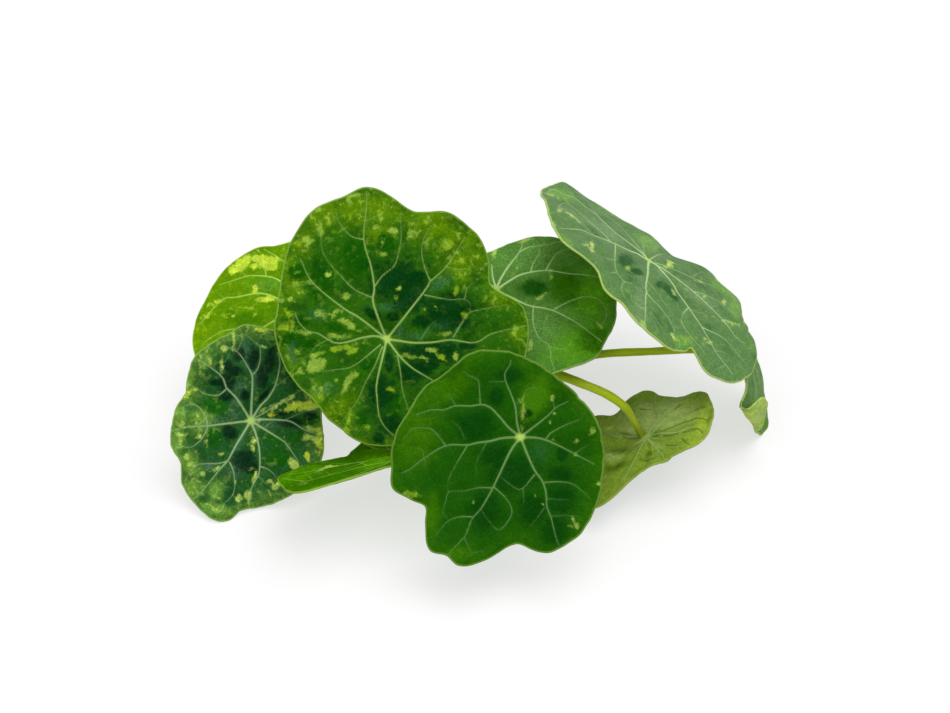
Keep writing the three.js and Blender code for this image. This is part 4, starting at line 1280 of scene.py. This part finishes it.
# The colour of the painted shade beside an underside's veins and in its creases
UNDERSIDE_CREASE_SHADE = (52, 78, 8)
STEM_COLOURS = {
    "at the blade": (112, 126, 2), "half way": (170, 190, 12), "at the root": (150, 172, 52),
    "pale streaks": (176, 196, 92), "dark lines": (84, 116, 6),
    "cut": (150, 170, 84), "pith": (206, 214, 158),
}
STEM_GLOSS = 0.12
BLADE_ROUGHNESS, STEM_ROUGHNESS = 0.46, 0.42
BLADE_RELIEF, STEM_RELIEF = 0.00007, 0.00006   # in metres


class BladeSkin(Shade):
    """The skin of one blade, laid on in layers from its green to its veins"""

    def __init__(self, name):
        self.look = {key: linear(*value) if isinstance(value, tuple) else value
                     for key, value in {**USUAL_LOOK, **LOOKS[name]}.items()}
        super().__init__(name.replace("leaf", "blade") + "_skin", BLADE_ROUGHNESS, self.look["gloss"])
        plan = self.plan = self.mark("plan", vector=True)
        self.gap, self.margin_gap = self.mark("vein_gap"), self.mark("margin_gap")
        self.cloud = self.noise(plan, 0.2, 3.0)
        self.blotch = self.noise(self.warped(plan, 0.8, 1.6), 0.75, 4.0)
        self.speck = self.noise(plan, 2.8, 4.0)
        self.network = self.cell_edge(self.warped(plan, 0.45, 1.9), 0.5)
        self.small_network = self.cell_edge(self.warped(plan, 1.1, 0.9), 1.2)
        self.cells = self.cell_value(plan, 5.5)
        self.wander = self.minus_half(self.noise(self.warped(plan, 1.5, 0.8), 0.9, 5.0))
        self.jagged = self.minus_half(self.noise(plan, 3.4, 3.0))

    def minus_half(self, value):
        return self.math("SUBTRACT", value, 0.5)

    def green(self):
        """Paler margin, lighter zones of painted light over paler tone, darker zones of painted shade
        over darker tone, blotches of both, and a painted sheen over a pale, downy bloom
        """
        look = self.look
        # Paler toward the margin; the lighter zones are painted light over paler tone
        lighter = self.times(self.between(self.margin_gap, 4.2, 0.2), look["margin"])
        lighter = self.math("MAXIMUM", lighter, self.mark("light_and_pale_tone"))
        lighter = self.scaled(self.minus_half(self.blotch), 1.5 * look["mottle"], lighter)
        green = self.mix(self.between(lighter, 0.0, 1.0), look["base"], look["light_and_pale_tone"])
        fresh = self.scaled(self.wander, 0.9, self.mark("fresh"))
        green = self.mix(self.between(fresh, 0.1, 0.7), green, look["fresh"])
        # Painted shade over darker tone in the darker zones; the same dark green also gives a random
        # dark mottle
        darker = self.scaled(self.wander, 1.5 * look["mottle"], self.mark("shade_and_dark_tone"))
        dark = self.between(darker, 0.15, 0.8)
        green = self.mix(dark, green, look["shade_and_dark_tone"])
        cloudy = self.times(self.between(self.cloud, 0.50, 0.30), 0.7 * look["mottle"])
        green = self.mix(cloudy, green, look["shade_and_dark_tone"])
        self.plain = self.scaled(dark, -0.8, 1.0)
        self.light = self.times(self.between(lighter, 0.1, 0.8), self.plain)
        # A painted sheen over a pale, downy bloom, in the bluish-grey patches
        sheen_on_hairs = self.times(self.mark("sheen_and_bloom"), self.between(self.speck, 0.26, 0.66))
        return self.mix(self.times(self.times(sheen_on_hairs, self.plain), 0.75), green, look["sheen_and_bloom"])

    def variegated(self, green):
        """Yellow and cream patches with ragged borders, then speckles and flecks"""
        look, plan = self.look, self.plan
        ragged = self.math("ADD", self.times(self.wander, 1.7), self.times(self.jagged, 0.45))
        for kind in ("yellow", "cream"):
            depth = self.math("ADD", ragged, self.mark(kind))
            patch = self.times(self.between(depth, -0.12, 0.3), self.scaled(self.blotch, 0.9, 0.25))
            green = self.mix(patch, green, look[kind])
        speckle = self.between(self.noise(self.warped(plan, 2.0, 0.5), 1.3, 4.0), 0.52, 0.66)
        speckle = self.times(self.times(speckle, self.light), look["speckle"])
        green = self.mix(speckle, green, look["spark"])
        if not look["flecks"]:
            return green
        fleck = self.between(self.noise(self.warped(plan, 1.4, 0.6), 0.95, 1.5), 0.58, 0.68)
        fleck = self.times(fleck, self.scaled(self.light, 0.7, 0.2))
        fleck = self.times(self.times(fleck, self.plain), look["flecks"])
        return self.mix(fleck, green, look["cream"])

    def small_veins(self):
        """How much lighter the two networks of small veins are than what lies between them"""
        thin = self.times(self.between(self.network, 0.07, 0.0), self.look["network"])
        thinner = self.times(self.between(self.small_network, 0.08, 0.0), self.look["network"])
        return self.math("ADD", 1.0, self.math("ADD", thin, thinner))

    def upper(self, green, net, vein, rim):
        """Fine cells and small veins, then the veins, their pale star and the margin"""
        green = self.shaded(green, self.scaled(self.cells, 0.16, 0.92))
        green = self.shaded(green, self.scaled(self.speck, 0.4, 0.8))
        green = self.mix(vein, self.shaded(green, net), self.look["vein"])
        from_centre = self.scaled(self.wander, 0.9, self.mark("from_centre"))
        star = self.times(self.between(from_centre, 1.0, 0.15), self.between(self.gap, 0.5, -0.1))
        green = self.mix(self.times(star, 0.8), green, linear(*CENTRE_COLOUR))
        return self.mix(self.times(rim, 0.75), green, self.look["rim"])

    def lower(self, net, vein, rim):
        """The underside, paler and greyer, with raised veins and sunken creases, and painted shade
        beside the veins and in the creases
        """
        look, crease_shade_colour = self.look, linear(*UNDERSIDE_CREASE_SHADE)
        colour = look.get("below", linear(*UNDERSIDE_COLOUR))
        # Where an underside shows, it takes the painted sheen, painted light and painted shade patches
        # too
        if "below" in look:
            for kind in ("sheen_and_bloom", "light_and_pale_tone", "shade_and_dark_tone"):
                colour = self.mix(self.mark(kind), colour, look[kind])
        colour = self.shaded(colour, self.scaled(self.cells, 0.14, 0.93))
        colour = self.shaded(colour, self.scaled(self.blotch, 0.7, 0.65))
        colour = self.shaded(colour, net)
        # Painted shade along both sides of each vein
        flank_shade = self.times(self.between(self.gap, 0.40, 0.06), 0.16)
        colour = self.mix(flank_shade, colour, crease_shade_colour)
        colour = self.mix(self.times(vein, 0.6), colour, linear(*UNDERSIDE_VEIN))
        # Painted shade in the sunken creases
        crease = self.times(self.between(self.mark("crease_gap"), 0.20, 0.0), 0.55)
        colour = self.mix(crease, colour, crease_shade_colour)
        return self.mix(self.times(rim, 0.6), colour, look["rim"])

    def relief(self):
        """Satin skin with fine cells and sunken small veins"""
        self.put(self.shader.inputs["Roughness"], self.scaled(self.speck, 0.16, 0.38))
        height = self.times(self.between(self.network, 0.0, 0.2), 0.5)
        height = self.scaled(self.between(self.small_network, 0.0, 0.2), 0.3, height)
        height = self.scaled(self.speck, 0.8, height)
        height = self.scaled(self.between(self.gap, -0.08, 0.2), 0.9, height)
        self.bump(height, BLADE_RELIEF)


def blade_material(name):
    skin = BladeSkin(name)
    look, gap = skin.look, skin.gap
    green = skin.variegated(skin.green())
    net = skin.small_veins()
    halo = skin.times(skin.between(gap, 0.3, 0.0), 0.08)
    vein = skin.times(skin.between(gap, 0.06, -0.08), look["veins"])
    vein = skin.times(skin.math("MAXIMUM", vein, halo), skin.mark("vein_strength"))
    rim_gap = skin.scaled(skin.wander, 0.15, skin.margin_gap)
    rim = skin.between(rim_gap, look["rim_width"] * 1.3, look["rim_width"] * 0.4)
    colour = skin.mix(skin.between(skin.mark("underside"), 0.3, 0.7),
                      skin.upper(green, net, vein, rim), skin.lower(net, vein, rim))
    skin.put(skin.shader.inputs["Base Color"], colour)
    skin.relief()
    return skin.material


def stem_material(name):
    skin = Shade(name + "_skin", STEM_ROUGHNESS, STEM_GLOSS)
    grain, down = skin.mark("grain", vector=True), skin.mark("down")
    streak = skin.noise(grain, 1.0, 3.0, (2.6, 2.6, 0.12))
    fine = skin.noise(grain, 1.0, 2.0, (7.0, 7.0, 0.5))
    speck = skin.noise(grain, 3.0, 3.0)
    colour = linear(*STEM_COLOURS["at the blade"])
    for key, share in (("half way", skin.between(down, 0.0, 0.4)),
                       ("at the root", skin.between(down, 0.7, 1.0)),
                       ("pale streaks", skin.times(skin.between(streak, 0.42, 0.70), 0.3)),
                       ("dark lines", skin.times(skin.between(fine, 0.52, 0.75), 0.18))):
        colour = skin.mix(share, colour, linear(*STEM_COLOURS[key]))
    colour = skin.shaded(colour, skin.scaled(speck, 0.3, 0.86))
    for key in ("cut", "pith"):
        colour = skin.mix(skin.mark(key), colour, linear(*STEM_COLOURS[key]))
    skin.put(skin.shader.inputs["Base Color"], colour)
    skin.put(skin.shader.inputs["Roughness"], skin.scaled(speck, 0.2, 0.34))
    skin.bump(skin.scaled(fine, 0.5, streak), STEM_RELIEF)
    return skin.material


def add_blade(name):
    points, faces, marks = Blade(name).mesh()
    piece = make_object(name.replace("leaf", "blade"), points, faces, marks, blade_material(name))
    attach(piece, "root")
    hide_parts(name)


def add_shoot(name):
    tubes = shoot_tubes(name)
    points, faces = joined_shells(tubes)
    piece = make_object(name.replace("shoot", "stem"), points, faces, stem_marks(tubes, points),
                        stem_material(name))
    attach(piece, "root")
    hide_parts(name)


for leaf_name in LEAVES:
    add_blade(leaf_name)
for shoot_name in SHOOTS:
    add_shoot(shoot_name)


# Floor, light and camera, in metres
FLOOR_SIZE = 6
FLOOR_GAP = 0.00003   # so that no face of the part lies in the floor
FLOOR_COLOUR = (0.32, 0.315, 0.32, 1)
FLOOR_GLOW = 0.61
SKY = 0.42


def add_floor():
    bpy.ops.mesh.primitive_plane_add(size=FLOOR_SIZE, location=(0, 0, -FLOOR_GAP))
    floor = bpy.context.object
    floor.name = "floor"
    shade = Shade("floor_paper", roughness=0.9, specular=0.1)
    place = shade.tree.nodes.new("ShaderNodeTexCoord").outputs["Object"]
    faint = shade.scaled(shade.noise(place, 40.0, 2.0), 0.02, 0.98)
    shade.put(shade.shader.inputs["Base Color"], shade.shaded(FLOOR_COLOUR, faint))
    shade.shader.inputs["Emission Color"].default_value = (1.0, 1.0, 1.0, 1)
    shade.shader.inputs["Emission Strength"].default_value = FLOOR_GLOW
    floor.data.materials.append(shade.material)


def add_area_light(name, location, size, watts):
    data = bpy.data.lights.new(name, "AREA")
    data.size, data.energy = size, watts
    light = bpy.data.objects.new(name, data)
    light.location = location
    light.rotation_euler = (-Vector(location)).to_track_quat("-Z", "Y").to_euler()
    bpy.context.scene.collection.objects.link(light)


def add_camera():
    data = bpy.data.cameras.new("camera")
    data.lens, data.sensor_width = LENS, SENSOR
    data.clip_start, data.clip_end = 0.01, 20
    camera = bpy.data.objects.new("camera", data)
    camera.location = (CAMERA - ORIGIN) * MM
    camera.rotation_euler = (math.pi / 2 - ELEVATION, 0, 0)
    bpy.context.scene.collection.objects.link(camera)
    bpy.context.scene.camera = camera


def set_sky():
    world = bpy.data.worlds.new("studio")
    world.use_nodes = True
    background = world.node_tree.nodes["Background"]
    background.inputs["Color"].default_value = (1.0, 1.0, 1.0, 1)
    background.inputs["Strength"].default_value = SKY
    bpy.context.scene.world = world


add_floor()
add_area_light("soft_top", location=(0.24, 0.05, 0.93), size=0.8, watts=7)
add_area_light("soft_front", location=(-0.30, -0.50, 0.85), size=0.9, watts=4.5)
set_sky()
add_camera()
bpy.context.scene.view_settings.view_transform = "Standard"
